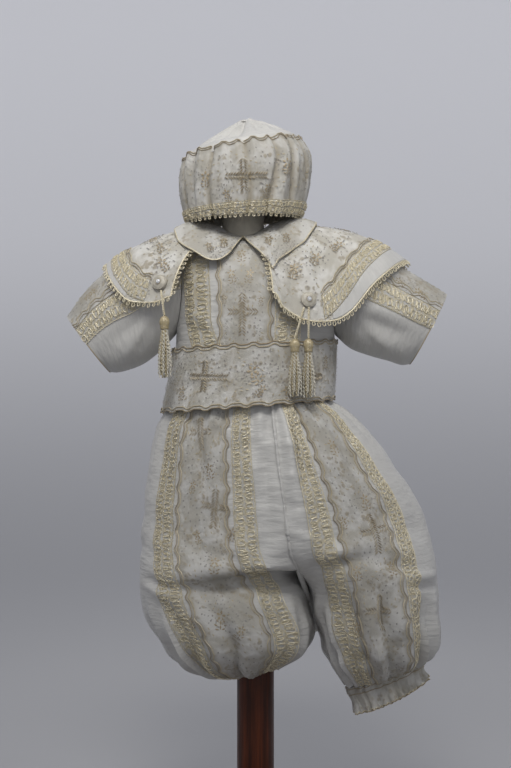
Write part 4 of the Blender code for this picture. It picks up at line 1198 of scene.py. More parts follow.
BACK_CREASES = {
    "right": (
        (-60, 418, -72, 330, 7, 9, -3.2), (-40, 420, -42, 350, 6, 8, 2.6),
        (-20, 420, -16, 342, 6, 7, -3), (4, 416, 10, 330, 6, 5, 2.2),
        (-80, 300, -10, 282, 9, 8, -4), (-90, 262, -30, 246, 8, 9, 3.2),
        (-50, 250, 30, 262, 7, 9, -3.6), (-84, 226, -50, 182, 6, 8, -3.2),
        (-56, 232, -24, 180, 7, 6, 2.8), (-30, 230, -4, 176, 6, 7, -3.2),
        (0, 236, 10, 184, 6, 6, 2.4), (22, 238, 24, 192, 6, 6, -2.6),
    ),
    "left": (
        (40, 414, 60, 340, 7, 8, -3), (62, 406, 96, 336, 7, 8, 2.6),
        (28, 400, 34, 320, 6, 5, 2.2), (86, 390, 130, 322, 7, 8, -2.6),
        (60, 300, 140, 286, 9, 8, -4), (80, 270, 168, 258, 8, 8, 3),
        (70, 244, 92, 166, 7, 8, -3.2), (92, 250, 112, 172, 7, 7, 2.8),
        (116, 246, 130, 178, 6, 8, -3.2), (140, 246, 150, 186, 6, 6, 2.4),
        (162, 242, 166, 190, 5, 6, -2.8),
    ),
}
BODICE_CREASES = (
    (-66, 516, -40, 504, 5, 6, 1.2), (-70, 506, -46, 494, 4, 5, -1.2),
    (-62, 552, -58, 500, 6, 5, 1), (56, 550, 62, 500, 6, 5, -1),
    (-30, 500, 0, 497, 4, 4, 0.8), (-44, 540, -40, 505, 4, 4, -0.8),
    (20, 540, 24, 500, 4, 5, -0.8),
)
BODICE_BACK_CREASES = (
    (-50, 560, -40, 500, 7, 7, -1.6), (-30, 555, -26, 500, 6, 8, 1.3),
    (0, 560, 3, 500, 5, 5, -1.2), (34, 556, 30, 500, 7, 6, 1.4),
    (56, 552, 48, 500, 6, 7, -1.6), (-60, 510, 20, 503, 5, 5, -1),
)
SLEEVE_CREASES = {
    "right": (
        (-100, 520, -140, 486, 6, 8, -2.6), (-98, 535, -150, 512, 7, 8, 1.8),
        (-102, 500, -132, 470, 6, 6, 2), (-112, 552, -160, 524, 6, 7, -1.6),
        (-96, 508, -118, 478, 5, 5, -2.2),
    ),
    "left": (
        (100, 512, 150, 492, 6, 8, -2.6), (98, 526, 152, 508, 7, 8, 2.2),
        (100, 498, 140, 478, 6, 6, 2), (110, 555, 160, 532, 6, 7, -1.4),
        (96, 506, 120, 482, 5, 5, -2.2),
    ),
}
SLEEVE_BACK_CREASES = {
    name: tuple((x0, z0 - 4, x1, z1 - 2, a, b, -0.9 * h) for x0, z0, x1, z1, a, b, h in rows)
    for name, rows in SLEEVE_CREASES.items()
}
BELT_CREASES = (
    (-60, 470, -20, 474, 4, 5, 0.8), (-76, 446, -30, 440, 4, 5, -0.9),
    (10, 452, 62, 462, 5, 5, 0.9), (-20, 432, 40, 434, 4, 4, -0.7),
    (60, 476, 68, 440, 4, 4, 0.8),
)
CAPE_CREASES = {
    "right": (
        (-60, 585, -92, 528, 5, 7, -1.4), (-74, 588, -112, 536, 6, 6, 1.6),
        (-86, 586, -130, 548, 5, 7, -1.4), (-50, 580, -78, 530, 5, 5, 1.2),
        (-92, 584, -122, 540, 4, 4, 1),
    ),
    "left": (
        (26, 580, 40, 512, 6, 7, -1.3), (40, 584, 62, 510, 6, 6, 1.8),
        (50, 586, 84, 516, 5, 7, -1.8), (62, 588, 104, 530, 6, 6, 1.8),
        (72, 588, 122, 546, 5, 7, -1.5), (30, 560, 26, 520, 4, 5, 1),
    ),
}
CAPE_BACK_CREASES = (
    (-20, 585, -30, 524, 6, 7, 1.3), (-40, 585, -66, 524, 6, 7, -1.5),
    (-60, 585, -96, 530, 6, 7, 1.3), (6, 585, 14, 522, 6, 7, -1.3),
    (24, 585, 46, 522, 6, 7, 1.4), (44, 585, 84, 530, 6, 7, -1.5),
)


# ---------------------------------------------------------------- making each piece


def make_stand():
    """Turned profiles: a base with a quarter-round edge, a shallow dish and a boss, and a plain post."""
    base = Mesh()
    edge = np.radians(np.linspace(0, 90, 12))
    rim = np.stack([BASE_RADIUS - BASE_EDGE + BASE_EDGE * np.cos(edge),
                    BASE_HEIGHT - BASE_EDGE + BASE_EDGE * np.sin(edge)], 1)
    foot = ((BASE_RADIUS - 1.5, 0), (BASE_RADIUS - 0.4, 0.4), (BASE_RADIUS, 1.5))
    dish = tuple((BASE_RADIUS - 12 - 2 * k, BASE_HEIGHT - 0.15 * k) for k in range(4))
    boss = ((30, BASE_HEIGHT - 0.6), (28.5, BASE_HEIGHT - 0.1), (26, BASE_HEIGHT))
    base.turned((*foot, *rim, *dish, *boss), 160, (0, 0, 0))
    base.piece("base_turned", finished("dark_wood"), "wood", ["stand_base"], sharp=40)
    pole = Mesh()
    heights = np.linspace(BASE_HEIGHT + GAP, POLE_TOP, 24)
    pole.turned([(POLE_RADIUS, h) for h in heights], 96, (0, 0, 0))
    pole.piece("post_turned", finished("dark_wood"), "wood", ["stand_pole"], sharp=40)


def make_form():
    """The form: ovals carried from level to level, closed at both ends."""
    angles = around(96)
    rings = []
    for z, right, left, depth in FORM:
        x = (right + left) / 2 + (left - right) / 2 * np.cos(angles)
        rings.append(np.stack([x, depth * np.sin(angles), np.full(len(angles), z)], 1))
    grid = carry_down(np.array(rings), 90)[:, :-1]
    tips = np.array([grid[0].mean(axis=0), grid[-1].mean(axis=0) + (0, 0, 0.6)])
    made = Mesh().capped(grid, tips)
    made.piece("form_covered", finished("form_jersey"), "form_cover", ["dress_form"])


def make_legs():
    """Both legs: creased and gathered satin with its lace, braids, threads and motifs."""
    sizes = bpy.context.scene.suit_sizes
    wave = (sizes.wave_height / MM, sizes.wave_period / MM)
    cloths = {}
    for name in LEGS:
        cloth = cloths[name] = leg_cloth(name)
        lift = creased(cloth.grid, cloth.out, -1, LEG_CREASES[name])
        lift += creased(cloth.grid, cloth.out, 1, BACK_CREASES[name])
        down = np.linspace(0, 1, cloth.grid.shape[0])[:, None]
        turn = np.linspace(-1, 1, cloth.grid.shape[1])[None]
        lift += gathers(turn * np.pi, 16, 0.7) * 0.9 * (1 - smooth(0.05, 0.35, down))
        drawn_in = 2.6 * smooth(0.66, 0.9, down) - 1.1 * smooth(0.93, 1, down)
        lift += gathers(turn * np.pi, 13, 2.1) * drawn_in
        rumpling = 0.8 + 0.5 * smooth(0.6, 0.85, down) - 0.7 * smooth(0.9, 1, down)
        lift += rumpled(cloth.grid, 34, len(name)) * smooth(0, 0.2, down) * rumpling
        cloth.raise_by(1.25 * lift)
        satin = Mesh().shell(cloth.grid, cloth.out, SATIN)
        threads = Mesh()
        trims = {}
        for part, shares in LEG_BANDS[name].items():
            ribbon = leg_ribbon(cloth, name, shares)
            if part == "lace":
                made = ribbon.panel(Mesh(), 150, 22, 0.15, LACE, wave)
                wavy_lines(threads, ribbon, 0, -1, LACE + 0.5)
                wavy_lines(threads, ribbon, 1, 1, LACE + 0.5)
                strewn(threads, ribbon, LACE + 0.3, 42, len(name))
                node = "leg_lace_" + name
                leg_motifs(threads, cloth, name)
            else:
                made = ribbon.panel(Mesh(), 120, 6, 0.15, BRAID)
                node = "leg_" + part + "_" + name
                loops = Mesh()
                looped_braid(loops, ribbon, BRAID)
                trims[node + "_loops"] = loops
            kind = ("net_lace", "lace") if part == "lace" else ("gold_gauze", "braid")
            sewn(made, node + "_strip", *kind, [node], ribbon.cut(), "stretched", ["leg_" + name])
        threads.stitched("leg_stitches_" + name)
        for title, loops in trims.items():
            loops.stitched(title)
        sewn(satin, "leg_satin_" + name, "ivory_satin", "satin", ["leg_" + name], cut_size(cloth.grid),
             "gathered", ["belt"])
    make_seams(cloths)


def rumpled(grid, step, seed):
    """Soft rumples, in millimetres: waves along slanting lines, bent by slower waves, added together."""
    x, y, z = grid[..., 0], grid[..., 1], grid[..., 2]
    bend = 0.9 * np.sin(z / step * 1.7 + seed) + 0.7 * np.sin((x + y) / step * 1.3 + 2 * seed)
    first = np.sin((0.9 * z + 0.45 * x) * TAU / step + bend + seed)
    second = np.sin((0.5 * z - 0.8 * x + 0.3 * y) * TAU / (step * 0.76) + 1.4 * bend)
    return first * np.cos(bend * 1.3) * 0.7 + second * np.sin(bend + 1) * 0.6


def make_seams(cloths):
    """The puckered seam between the legs, as far down as their edges lie side by side."""
    seam = Mesh()
    for edge in (0, -1):
        first, second = cloths["right"].grid[:, edge], cloths["left"].grid[:, edge]
        away = np.linalg.norm(first[:, None] - second[None], axis=2)
        joined = away.min(axis=1) < 5
        middle = (first + second[away.argmin(axis=1)])[joined] / 2
        radius = away.min(axis=1)[joined] / 2 + 0.9
        spots = np.linspace(0, len(middle) - 1, 260)
        path = np.stack([np.interp(spots, np.arange(len(middle)), middle[:, k]) for k in range(3)], 1)
        pucker = 1 + 0.1 * np.sin(spots * 2.9 + 1.5 * np.sin(spots * 0.7))
        out = cloths["right"].out[:, edge].mean(axis=0)
        seam.tube(path, out, np.interp(spots, np.arange(len(middle)), radius) * pucker, 8)
    seam.piece("leg_seams", finished("ivory_satin"), "satin")


def leg_motifs(mesh, cloth, name):
    """Works a leg's crosses, flowers and fans on its lace."""
    crosses, flowers, fans = LEG_MOTIFS[name]
    for x, z, height, width, turn in crosses:
        stitch_cross(mesh, cloth, x, z, height, width, turn)
    for x, z, size, turn in flowers:
        stitch_flower(mesh, cloth, x, z, size, turn)
    for x, z, rays, rings in fans:
        stitch_fan(mesh, cloth, x, z, rays, rings, 8, 3.4)


# Motifs on the legs' lace: crosses (x, z, height, width, turn), flowers (x, z, size, turn),
# fans of small stitches (x, z, rays, rings)
LEG_MOTIFS = {
    "right": (
        ((-52, 398, 30, 24, 4), (-40, 328, 38, 28, -6)),
        ((-34, 226, 1.5, -10), (-14, 212, 1.1, -20), (-45, 366, 1.2, 10), (-60, 350, 0.9, -12),
         (-56, 300, 1, 14), (-22, 306, 1, -10), (-38, 278, 1.3, 0), (-64, 222, 1, 20)),
        ((-44, 366, 11, 2), (-36, 280, 13, 2), (-34, 230, 13, 3)),
    ),
    "left": (
        ((112, 306, 38, 28, 12), (118, 232, 36, 28, 4)),
        ((72, 388, 1.2, 20), (104, 338, 1.2, 14), (84, 316, 1, 10), (128, 272, 1.2, 4),
         (96, 270, 1.1, 10), (98, 214, 1.1, 8)),
        ((104, 338, 12, 2), (110, 270, 13, 2)),
    ),
}


def make_cuffs():
    """The left cuff is a drawn-in casing with a frill below it; the right one is drawn round the post."""
    turn = around(230)
    grid = carry_down(ends_of(CUFF_LEFT, turn), 34)
    cloth = Cloth(grid, (0, 360), (0, 1), (130, 0, 150), wrap=True)
    down = np.linspace(0, 1, 34)[:, None]
    wave = gathers(turn[None], 21, 1.3)
    cloth.raise_by(wave * (1 - 0.3 * smooth(0.2, 0.35, down) + 1.9 * smooth(0.55, 1, down)) * 0.95)
    made = Mesh().shell(cloth.grid, cloth.out, LACE, wrap=True)
    hem = Mesh()
    spots = np.linspace(0, 360, 700)
    hem.shade = 0.5
    for down_at, radius in ((0.995, 0.55), (0.30, 0.5), (0.06, 0.5)):
        low = down_at - 0.03 * (down_at > 0.9) * (1 + np.sin(spots * 0.9)) / 2
        hem.tube(cloth.at(spots, low, 0.2), cloth.normal(spots, low), radius, 4, closed=True)
    hem.shade = 0.15
    zig = 0.955 + 0.03 * np.sin(np.radians(spots) * 60)
    hem.tube(cloth.at(spots, zig, 0.35), cloth.normal(spots, zig), 0.4, 3, closed=True)
    edging = hem.stitched("cuff_left_edging")
    sewn(made, "cuff_left_frilled", "net_lace", "lace", ["leg_cuff_left"], cut_size(cloth.grid), "gathered",
         ["leg_left"], with_pieces=[edging])
    grid = carry_down(ends_of(CUFF_RIGHT, turn), 16)
    cloth = Cloth(grid, (0, 360), (0, 1), (0, 0, 162), wrap=True)
    down = np.linspace(0, 1, 16)[:, None]
    cloth.raise_by(gathers(turn[None], 15, 0.4) * (0.35 + 0.9 * smooth(0.5, 0, down)))
    made = Mesh().shell(cloth.grid, cloth.out, LACE, wrap=True)
    sewn(made, "cuff_right_gathered", "ivory_satin", "satin", ["leg_cuff_right"], cut_size(cloth.grid),
         "gathered", ["leg_right"])


def bloom(mesh, cloth, places, side=-1):
    """Works a sprig at each place: x, z, size and turn."""
    for x, z, size, turn in places:
        stitch_flower(mesh, cloth, x, z, size, turn, side)


def sew_braid(ribbon, node, on, rows, columns=9):
    """Sews a braid's gauze strip on a piece."""
    strip = ribbon.panel(Mesh(), rows, columns, 0.15, BRAID)
    sewn(strip, node + "_strip", "gold_gauze", "braid", [node], ribbon.cut(), "stretched", [on])


def make_bodice():
    """Front and back of the bodice; the front has the lace panel with its cross between two braids."""
    sizes = bpy.context.scene.suit_sizes
    for side, word, table in ((-1, "front", BODICE_CREASES), (1, "back", BODICE_BACK_CREASES)):
        cloth = bodice_cloth(side)
        cloth.raise_by(creased(cloth.grid, cloth.out, side, table))
        made = Mesh().shell(cloth.grid, cloth.out, SATIN)
        sewn(made, "bodice_satin_" + word, "ivory_satin", "satin", ["bodice_" + word],
             cut_size(cloth.grid), "stretched", ["dress_form"])
        if side > 0:
            continue
        threads = Mesh()
        down = np.linspace(0.16, 0.93, 70)
        for node, left, right, swing in (
            ("bodice_braid_right", 34, 57, 13), ("bodice_lace", 64, 101, 0),
            ("bodice_braid_left", 104, 122, 0),
        ):
            swing = swing * smooth(0.66, 1, down)
            ribbon = Ribbon(cloth, course(left + swing, down), course(right + swing, down))
            if node == "bodice_lace":
                wave = (sizes.wave_height / MM, sizes.wave_period / MM)
                strip = ribbon.panel(Mesh(), 110, 34, 0.15, LACE, wave)
                wavy_lines(threads, ribbon, 0, -1, LACE + 0.5)
                wavy_lines(threads, ribbon, 1, 1, LACE + 0.5)
                strewn(threads, ribbon, LACE + 0.3, 42, 1)
                stitch_cross(threads, cloth, -13.8, 515.5, 38, 28)
                bloom(threads, cloth, BODICE_FLOWERS)
                stitch_fan(threads, cloth, -14.5, 534, 7, 3, 6, 3.6, 12, 156)
                stitch_fan(threads, cloth, -24, 496, 5, 2, 4, 3.4, 110, 120)
                stitch_fan(threads, cloth, -3, 497, 5, 2, 4, 3.4, -40, 120)
                sewn(strip, node + "_panel", "net_lace", "lace", [node], ribbon.cut(), "stretched",
                     ["bodice_front"])
            else:
                loops = Mesh()
                looped_braid(loops, ribbon, BRAID)
                loops.stitched(node + "_loops")
                sew_braid(ribbon, node, "bodice_front", 90)
        threads.stitched("bodice_stitches")


BODICE_FLOWERS = (
    (-23, 553, 1.1, 15), (-6.5, 552, 1.1, -12), (-13, 573, 1.2, 0), (-30, 530, 0.7, 0), (4, 528, 0.7, 0),
)


def make_sleeves():
    """Both sleeves, each with a lace panel over its outer side and a braid in front of it."""
    for name in SLEEVES:
        cloth = sleeve_cloth(name)
        lift = creased(cloth.grid, cloth.out, -1, SLEEVE_CREASES[name])
        lift += creased(cloth.grid, cloth.out, 1, SLEEVE_BACK_CREASES[name])
        down = np.linspace(0, 1, cloth.grid.shape[0])[:, None]
        cloth.raise_by(lift * smooth(1, 0.8, down) * smooth(0, 0.2, down))
        satin = Mesh().shell(cloth.grid, cloth.out, SATIN, wrap=True)
        threads, loops = Mesh(), Mesh()
        down = np.linspace(0, 1, 60)
        bands = {"sleeve_braid_" + name: (62, 90), "sleeve_lace_" + name: (-60, 60)}
        for node, edges in bands.items():
            ribbon = Ribbon(cloth, *(course(edge, down) for edge in edges))
            if "lace" in node:
                strip = ribbon.panel(Mesh(), 80, 50, 0.15, LACE)
                wavy_lines(threads, ribbon, 0.97, 1, LACE + 0.5)
                wavy_lines(threads, ribbon, 0.05, -1, LACE + 0.5)
                strewn(threads, ribbon, LACE + 0.3, 38, 0.5)
                side = -1 if name == "right" else 1
                bloom(threads, cloth, ((side * 160, 536, 1.1, side * 40), (side * 140, 548, 0.9, side * 30)))
                stitch_fan(threads, cloth, side * 150, 541, 9, 2, 6, 3.4)
                sewn(strip, node + "_panel", "net_lace", "lace", [node], ribbon.cut(), "stretched",
                     ["sleeve_" + name])
            else:
                looped_braid(loops, ribbon, BRAID)
                sew_braid(ribbon, node, "sleeve_" + name, 80, 10)
        spots = np.linspace(0, 360, 220)
        threads.shade = 0.45
        threads.tube(cloth.at(spots, 0.995, 0.1), cloth.normal(spots, 0.995), 0.55, 4, closed=True)
        threads.stitched("sleeve_stitches_" + name)
        loops.stitched("sleeve_braid_loops_" + name)
        sewn(satin, "sleeve_satin_" + name, "ivory_satin", "satin", ["sleeve_" + name],
             cut_size(cloth.grid), "stretched", ["bodice_front"])


def make_capelets():
    """Both capelets: white lace with a braid over the shoulder, a plain hem and a looped edging."""
    for name in CAPE_SPANS:
        cloth = cape_cloth(name)
        lift = creased(cloth.grid, cloth.out, -1, CAPE_CREASES[name])
        lift += creased(cloth.grid, cloth.out, 1, CAPE_BACK_CREASES)
        first, last = cloth.across
        reach = np.linspace(0, 1, cloth.grid.shape[0])[:, None]
        cloth.raise_by(lift * smooth(0, 0.25, reach))
        made = Mesh().shell(cloth.grid, cloth.out, SATIN)
        threads, loops, picots = Mesh(), Mesh(), Mesh()
        spots, inner, outer = cape_braid(name)
        ribbon = Ribbon(cloth, course(spots, inner), course(spots, outer))
        strip = ribbon.panel(Mesh(), 160, 9, 0.15, BRAID)
        looped_braid(loops, ribbon, BRAID)
        edge = Ribbon(cloth, course(spots, inner - 0.1), course(spots, inner - 0.02))
        wavy_lines(threads, edge, 1, 1, 0.9)
        clear = outer < 0.955
        hem = Ribbon(cloth, course(spots, outer + 0.01)[clear], np.full((160, 2), 0.99)[clear])
        hem.right[:, 0] = spots[clear]
        white = hem.panel(Mesh(), 90, 6, 0.15, 0.5)
        white.piece("capelet_hem_" + name, finished("ivory_satin"), "satin")
        middle = np.linspace(first + 3, last - 3, 120)
        inner_edge = np.interp(middle, spots, inner - 0.12, 1, 1)
        field = Ribbon(cloth, course(middle, 0.12), course(middle, inner_edge))
        strewn(threads, field, 0.4, 38, 2, 2)
        for direction, reach, size, turn in CAPE_FLOWERS[name]:
            x, _, z = cape_point(np.array([float(direction)]), np.array([reach]))[0]
            side = -1 if abs(direction) < 95 else 1
            stitch_flower(threads, cloth, x, z, size, turn, side)
            stitch_fan(threads, cloth, x, z, 9, 2, 7.5, 3.6, side=side)
        make_picots(picots, cloth, name)
        threads.stitched("capelet_stitches_" + name)
        loops.stitched("capelet_braid_loops_" + name)
        picots.stitched("capelet_picots_" + name, "lace", ["capelet_edging_" + name])
        sewn(strip, "capelet_braid_strip_" + name, "gold_gauze", "braid", ["capelet_braid_" + name],
             ribbon.cut(), "stretched", ["capelet_" + name])
        # Painted light: the capelets wear a lighter copy of the lace
        sewn(made, "capelet_panel_" + name, "painted_light_lace", "satin", ["capelet_" + name],
             cut_size(cloth.grid), "draped", ["bodice_front", "sleeve_" + name])


def cape_braid(name, count=160):
    """Directions along a capelet's braid, with the reach of its inner and outer edges: a straight band over
    the shoulder, so its reach grows with the square of the way from the shoulder."""
    first, last, reach, growth, width = CAPE_BRAIDS[name]
    spots = np.linspace(first, last, count)
    outer = reach + growth * ((spots - (first + last) / 2) / (last - first) * 2) ** 2
    return spots, outer - width, np.minimum(outer, 0.99)


def make_picots(mesh, cloth, name):
    """Looped edging round the hem and the front edge: rings of thread that stand out past the cloth."""
    sizes = bpy.context.scene.suit_sizes
    pitch = sizes.picot_pitch / MM
    first, last = cloth.across
    front = last if name == "right" else first
    spots = np.linspace(first, last, 200)
    hem = course(spots, 1)
    inner = course(spots, 0.97)
    rise = np.linspace(0.30, 1, 60)
    step = 1 if name == "right" else -1
    edge = course(front, rise)
    inside = course(front - step * 3, rise)
    for outer, within in ((hem, inner), (edge, inside)):
        ribbon = Ribbon(cloth, within, outer)
        count = max(int(ribbon.length / pitch), 4)
        turn = np.linspace(0, TAU * count, 12 * count)
        q = np.clip(ribbon.length * turn / (TAU * count) + 0.5 * pitch * np.sin(turn), 0, ribbon.length)
        base = ribbon.at(1, q, 0)
        away = base - ribbon.at(0.4, q, 0)
        away /= np.linalg.norm(away, axis=1, keepdims=True)
        out = ribbon.normal(1, q)
        reach = 2.5 * (1 - np.cos(turn)) * (1 + 0.12 * np.sin(turn * 0.31)) - 0.4
        mesh.shade = 0
        mesh.tube(base + away * reach[:, None] + out * (0.3 * np.sin(turn))[:, None], out, 0.5, 4)
        mesh.shade = 0.12
        q = np.linspace(0, ribbon.length, 260)
        base, out = ribbon.at(1, q, 0.1), ribbon.normal(1, q)
        mesh.tube(base, out, 0.8, 5)


CAPE_FLOWERS = {
    "right": ((-66, 0.52, 1.1, 20), (-54, 0.66, 1.2, 30), (-80, 0.5, 1.1, 60), (-110, 0.55, 1.2, 0),
              (-140, 0.6, 1.2, 0), (-165, 0.55, 1.2, 0)),
    "left": ((40, 0.62, 1.3, -10), (58, 0.56, 1.3, -30), (74, 0.58, 1.2, -50), (88, 0.5, 1, -60),
             (112, 0.55, 1.2, 0), (140, 0.6, 1.2, 0), (165, 0.55, 1.2, 0)),
}


def make_collar():
    """Both halves of the collar, with a cord round their edges."""
    for name in COLLARS:
        cloth = collar_cloth(name)
        made = Mesh().shell(cloth.grid, cloth.out, SATIN)
        threads = Mesh()
        first, last = cloth.across
        spots = np.linspace(first, last, 400)
        threads.shade = 0.2
        threads.tube(cloth.at(spots, 0.995, -0.4), cloth.normal(spots, 0.995), 0.8, 5)
        for end in (first, last):
            rise = np.linspace(0, 0.99, 50)
            threads.tube(cloth.at(end, rise, -0.4), cloth.normal(end, rise), 0.7, 5)
        field = Ribbon(cloth, course(spots, 0.1), course(spots, 0.9))
        strewn(threads, field, 0.3, 30, 1.4, 2)
        bloom(threads, cloth, COLLAR_FLOWERS[name])
        for x, z in COLLAR_FANS[name]:
            stitch_fan(threads, cloth, x, z, 8, 2, 3.6, 3)
        edging = threads.stitched("collar_edging_" + name, "lace")
        sewn(made, "collar_panel_" + name, "net_lace", "satin", ["collar_" + name], cut_size(cloth.grid),
             "folded", ["capelet_" + name], with_pieces=[edging])


COLLAR_FLOWERS = {
    "right": ((-31, 585, 1.1, 0), (-46, 580, 0.9, 20)),
    "left": ((13, 587, 1.2, -20), (30, 590, 1, 0)),
}
COLLAR_FANS = {"right": ((-38, 572), (-24, 574)), "left": ((22, 574), (34, 580), (16, 562))}


def make_belt():
    """The belt: lace with scalloped edges over creased satin, with two crosses lying on their sides."""
    cloth = ring_cloth(BELT, (0, 0, 450), 220, 40)
    lift = creased(cloth.grid, cloth.out, -1, BELT_CREASES)
    behind = np.array(BELT_CREASES) * (-1, 1, -1, 1, 1, 1, 1)
    lift += creased(cloth.grid, cloth.out, 1, behind)
    cloth.raise_by(lift)
    sizes = bpy.context.scene.suit_sizes
    spots = np.linspace(0, 360, 220)
    ribbon = Ribbon(cloth, course(spots, 0.02), course(spots, 0.98))
    q, p = np.meshgrid(np.linspace(0, ribbon.length, 221), np.linspace(0, 1, 24), indexing="ij")
    count = round(ribbon.length / (sizes.wave_period / MM))
    bend = scallop_closed(q, ribbon.length, count) * sizes.wave_height / MM / ribbon.width * (2 * p - 1)
    grid = ribbon.at(p + bend, q, 0.2).transpose(1, 0, 2)
    out = ribbon.normal(p + bend, q).transpose(1, 0, 2)
    made = Mesh().shell(grid, out, LACE + 0.3, wrap=True)
    threads = Mesh()
    q = np.linspace(0, ribbon.length, 700)[:-1]
    for p, side in ((0, -1), (1, 1)):
        for inset, radius, shade in ((-0.2, 0.55, 0.5), (2.8, 0.62, 0.3)):
            threads.shade = shade
            shift = scallop_closed(q, ribbon.length, count) * sizes.wave_height / MM - inset
            where = p + shift * side / ribbon.width
            threads.tube(ribbon.at(where, q, 0.75), ribbon.normal(where, q), radius, 4, closed=True)
    strewn(threads, ribbon, 0.9, 44, 0.8)
    stitch_cross(threads, cloth, -48.5, 452, 42, 30, 88)
    stitch_cross(threads, cloth, 52, 452, 38, 28, -84)
    bloom(threads, cloth, ((-2, 458, 1.5, 30), (6, 442, 1, -40), (-70, 440, 1.1, 0), (30, 440, 1.1, 20),
                           (68, 470, 1, 0)))
    for x, z in ((-2, 456), (-76, 456), (28, 456)):
        stitch_fan(threads, cloth, x, z, 11, 2, 8, 3.6)
    for k in range(4):
        x = -54 + 36 * k
        stitch_cross(threads, cloth, x, 452, 34, 26, 90 * (k % 2), side=1)
        stitch_flower(threads, cloth, x + 18, 455, 1.2, 40 * k, side=1)
    stitches = threads.stitched("belt_stitches")
    sewn(made, "belt_band", "net_lace", "lace", ["belt"], ribbon.cut()[::-1], "stretched",
         ["bodice_front"], with_pieces=[stitches])


def scallop_closed(along, length, count):
    """The scalloped line with a whole number of scallops, so that it meets itself round a ring."""
    turn = along / length * TAU * count
    turn = turn + 0.3 * np.sin(along / length * TAU * 5)
    return np.cos(turn) * 0.75 + np.cos(2 * turn) * 0.25


def make_cap():
    """The cap: a gathered band of lace with fine folds whose valleys are painted in warm shade, a braid with
    zig-zag cords, and a pleated crown.
    """
    inside = (HAT_APEX[0], 0, 640)
    cloth = ring_cloth(HAT_BAND, inside, 320, 70)
    turn, down = around(320)[None], np.linspace(0, 1, 70)[:, None]
    folds = 1.2 * gathers(turn, 15, 0.9) * (0.55 + 0.45 * smooth(0.6, 0, down))
    for spot, reach, height in CAP_FOLDS:
        folds = folds + height * np.exp(-(((turn - spot + 0.05 * np.sin(down * 4 + spot * 5)) / reach) ** 2))
    folds = folds * (1 + 0.25 * np.sin(down * 5 + turn * 2))
    cloth.raise_by(folds)
    spots = np.linspace(0, 360, 320)
    ribbon = Ribbon(cloth, course(spots, 0.01), course(spots, 1))
    q, p = np.meshgrid(np.linspace(0, ribbon.length, 281), np.linspace(0, 1, 34), indexing="ij")
    count = round(ribbon.length / 17)
    top = scallop_closed(q, ribbon.length, count) * 1.9 / ribbon.width * (1 - p) ** 2
    grid = ribbon.at(p - top, q, 0).transpose(1, 0, 2)
    out = ribbon.normal(p - top, q).transpose(1, 0, 2)
    depth = cloth.read(np.repeat(folds[..., None], 3, axis=2), *ribbon.places(p, q))[..., 0].T
    made = Mesh()
    # Painted shade: the lace turns warm tan in the valleys of its folds, the deeper the darker
    made.shade = np.tile((1.6 * smooth(0, -4, depth)[:, :-1]).ravel(), 2)
    made.shell(grid, out, LACE, wrap=True)
    threads = Mesh()
    q = np.linspace(0, ribbon.length, 900)[:-1]
    for inset, radius, shade in ((0, 0.5, 0.3), (2.4, 0.5, 0.7)):
        threads.shade = shade
        where = -scallop_closed(q, ribbon.length, count) * 1.9 / ribbon.width + inset / ribbon.width
        threads.tube(ribbon.at(where, q, 0.5), ribbon.normal(where, q), radius, 4, closed=True)
    strewn(threads, Ribbon(cloth, ribbon.left + (0, 0.06), ribbon.left + (0, 0.8)), 0.4, 40, 0.3)
    for x, z, height, width, turned, side in CAP_CROSSES:
        stitch_cross(threads, cloth, x, z, height, width, turned, side)
    for x, z, size, turned, side in CAP_FLOWERS:
        stitch_flower(threads, cloth, x, z, size, turned, side)
        stitch_fan(threads, cloth, x, z, 9, 2, 7, 3.2, side=side)
    stitches = threads.stitched("cap_stitches")
    sewn(made, "cap_band", "net_lace", "lace", ["hat_band"], ribbon.cut()[::-1], "gathered",
         ["hat_crown"], with_pieces=[stitches])
    edging, strip = Mesh(), Mesh()
    low = Ribbon(cloth, course(spots, 0.84), course(spots, 0.995))
    q, p = np.meshgrid(np.linspace(0, low.length, 321), np.linspace(0, 1, 9), indexing="ij")
    grid, out = low.at(p, q, 0.25 + BRAID).transpose(1, 0, 2), low.normal(p, q).transpose(1, 0, 2)
    strip.shell(grid, out, BRAID, wrap=True)
    looped_braid(edging, low, 0.25 + BRAID)
    count = round(low.length / 5.5)
    turn = np.linspace(0, TAU * count, 12 * count)[:-1]
    q = low.length * turn / (TAU * count) + 2.4 * np.sin(turn)
    where = 0.98 + 1.7 * (1 - np.cos(turn)) / low.width
    q = np.mod(q, low.length)
    base = low.at(1, q, 0.6)
    drop = base - low.at(0.6, q, 0.6)
    drop /= np.linalg.norm(drop, axis=1, keepdims=True)
    edging.shade = 0.05
    edging.tube(base + drop * ((where - 0.98) * low.width)[:, None], low.normal(1, q), 0.45, 4, closed=True)
    zigzags = edging.stitched("cap_edging_cords")
    sewn(strip, "cap_edging_strip", "gold_gauze", "braid", ["hat_edging"], low.cut()[::-1],
         "gathered", ["cap_band"], with_pieces=[zigzags])
    crown = crown_cloth()
    turn, down = around(160)[None], np.linspace(0, 1, 40)[:, None]
    pleats = gathers(turn, 11, 2.6) * 1.5 * smooth(0.05, 0.5, down) * smooth(1, 0.75, down)
    pleats = pleats + 1.6 * np.sin(turn * 3 + 1.2) * smooth(0.1, 0.5, down)
    crown.raise_by(pleats)
    shell = Mesh().shell(crown.grid, crown.out, SATIN, wrap=True)
    knot = crown.grid[-1, :-1].mean(axis=0)
    reach = np.linalg.norm(crown.grid[-1] - knot, axis=1).mean() + 0.8
    profile = ((reach, -1.4), (reach, -0.2), (reach * 0.85, 0.5), (reach * 0.4, 1), (reach * 0.1, 1.1))
    shell.turned(profile, 40, knot)
    sewn(shell, "cap_crown", "ivory_satin", "satin", ["hat_crown"], cut_size(crown.grid), "gathered",
         ["dress_form"])


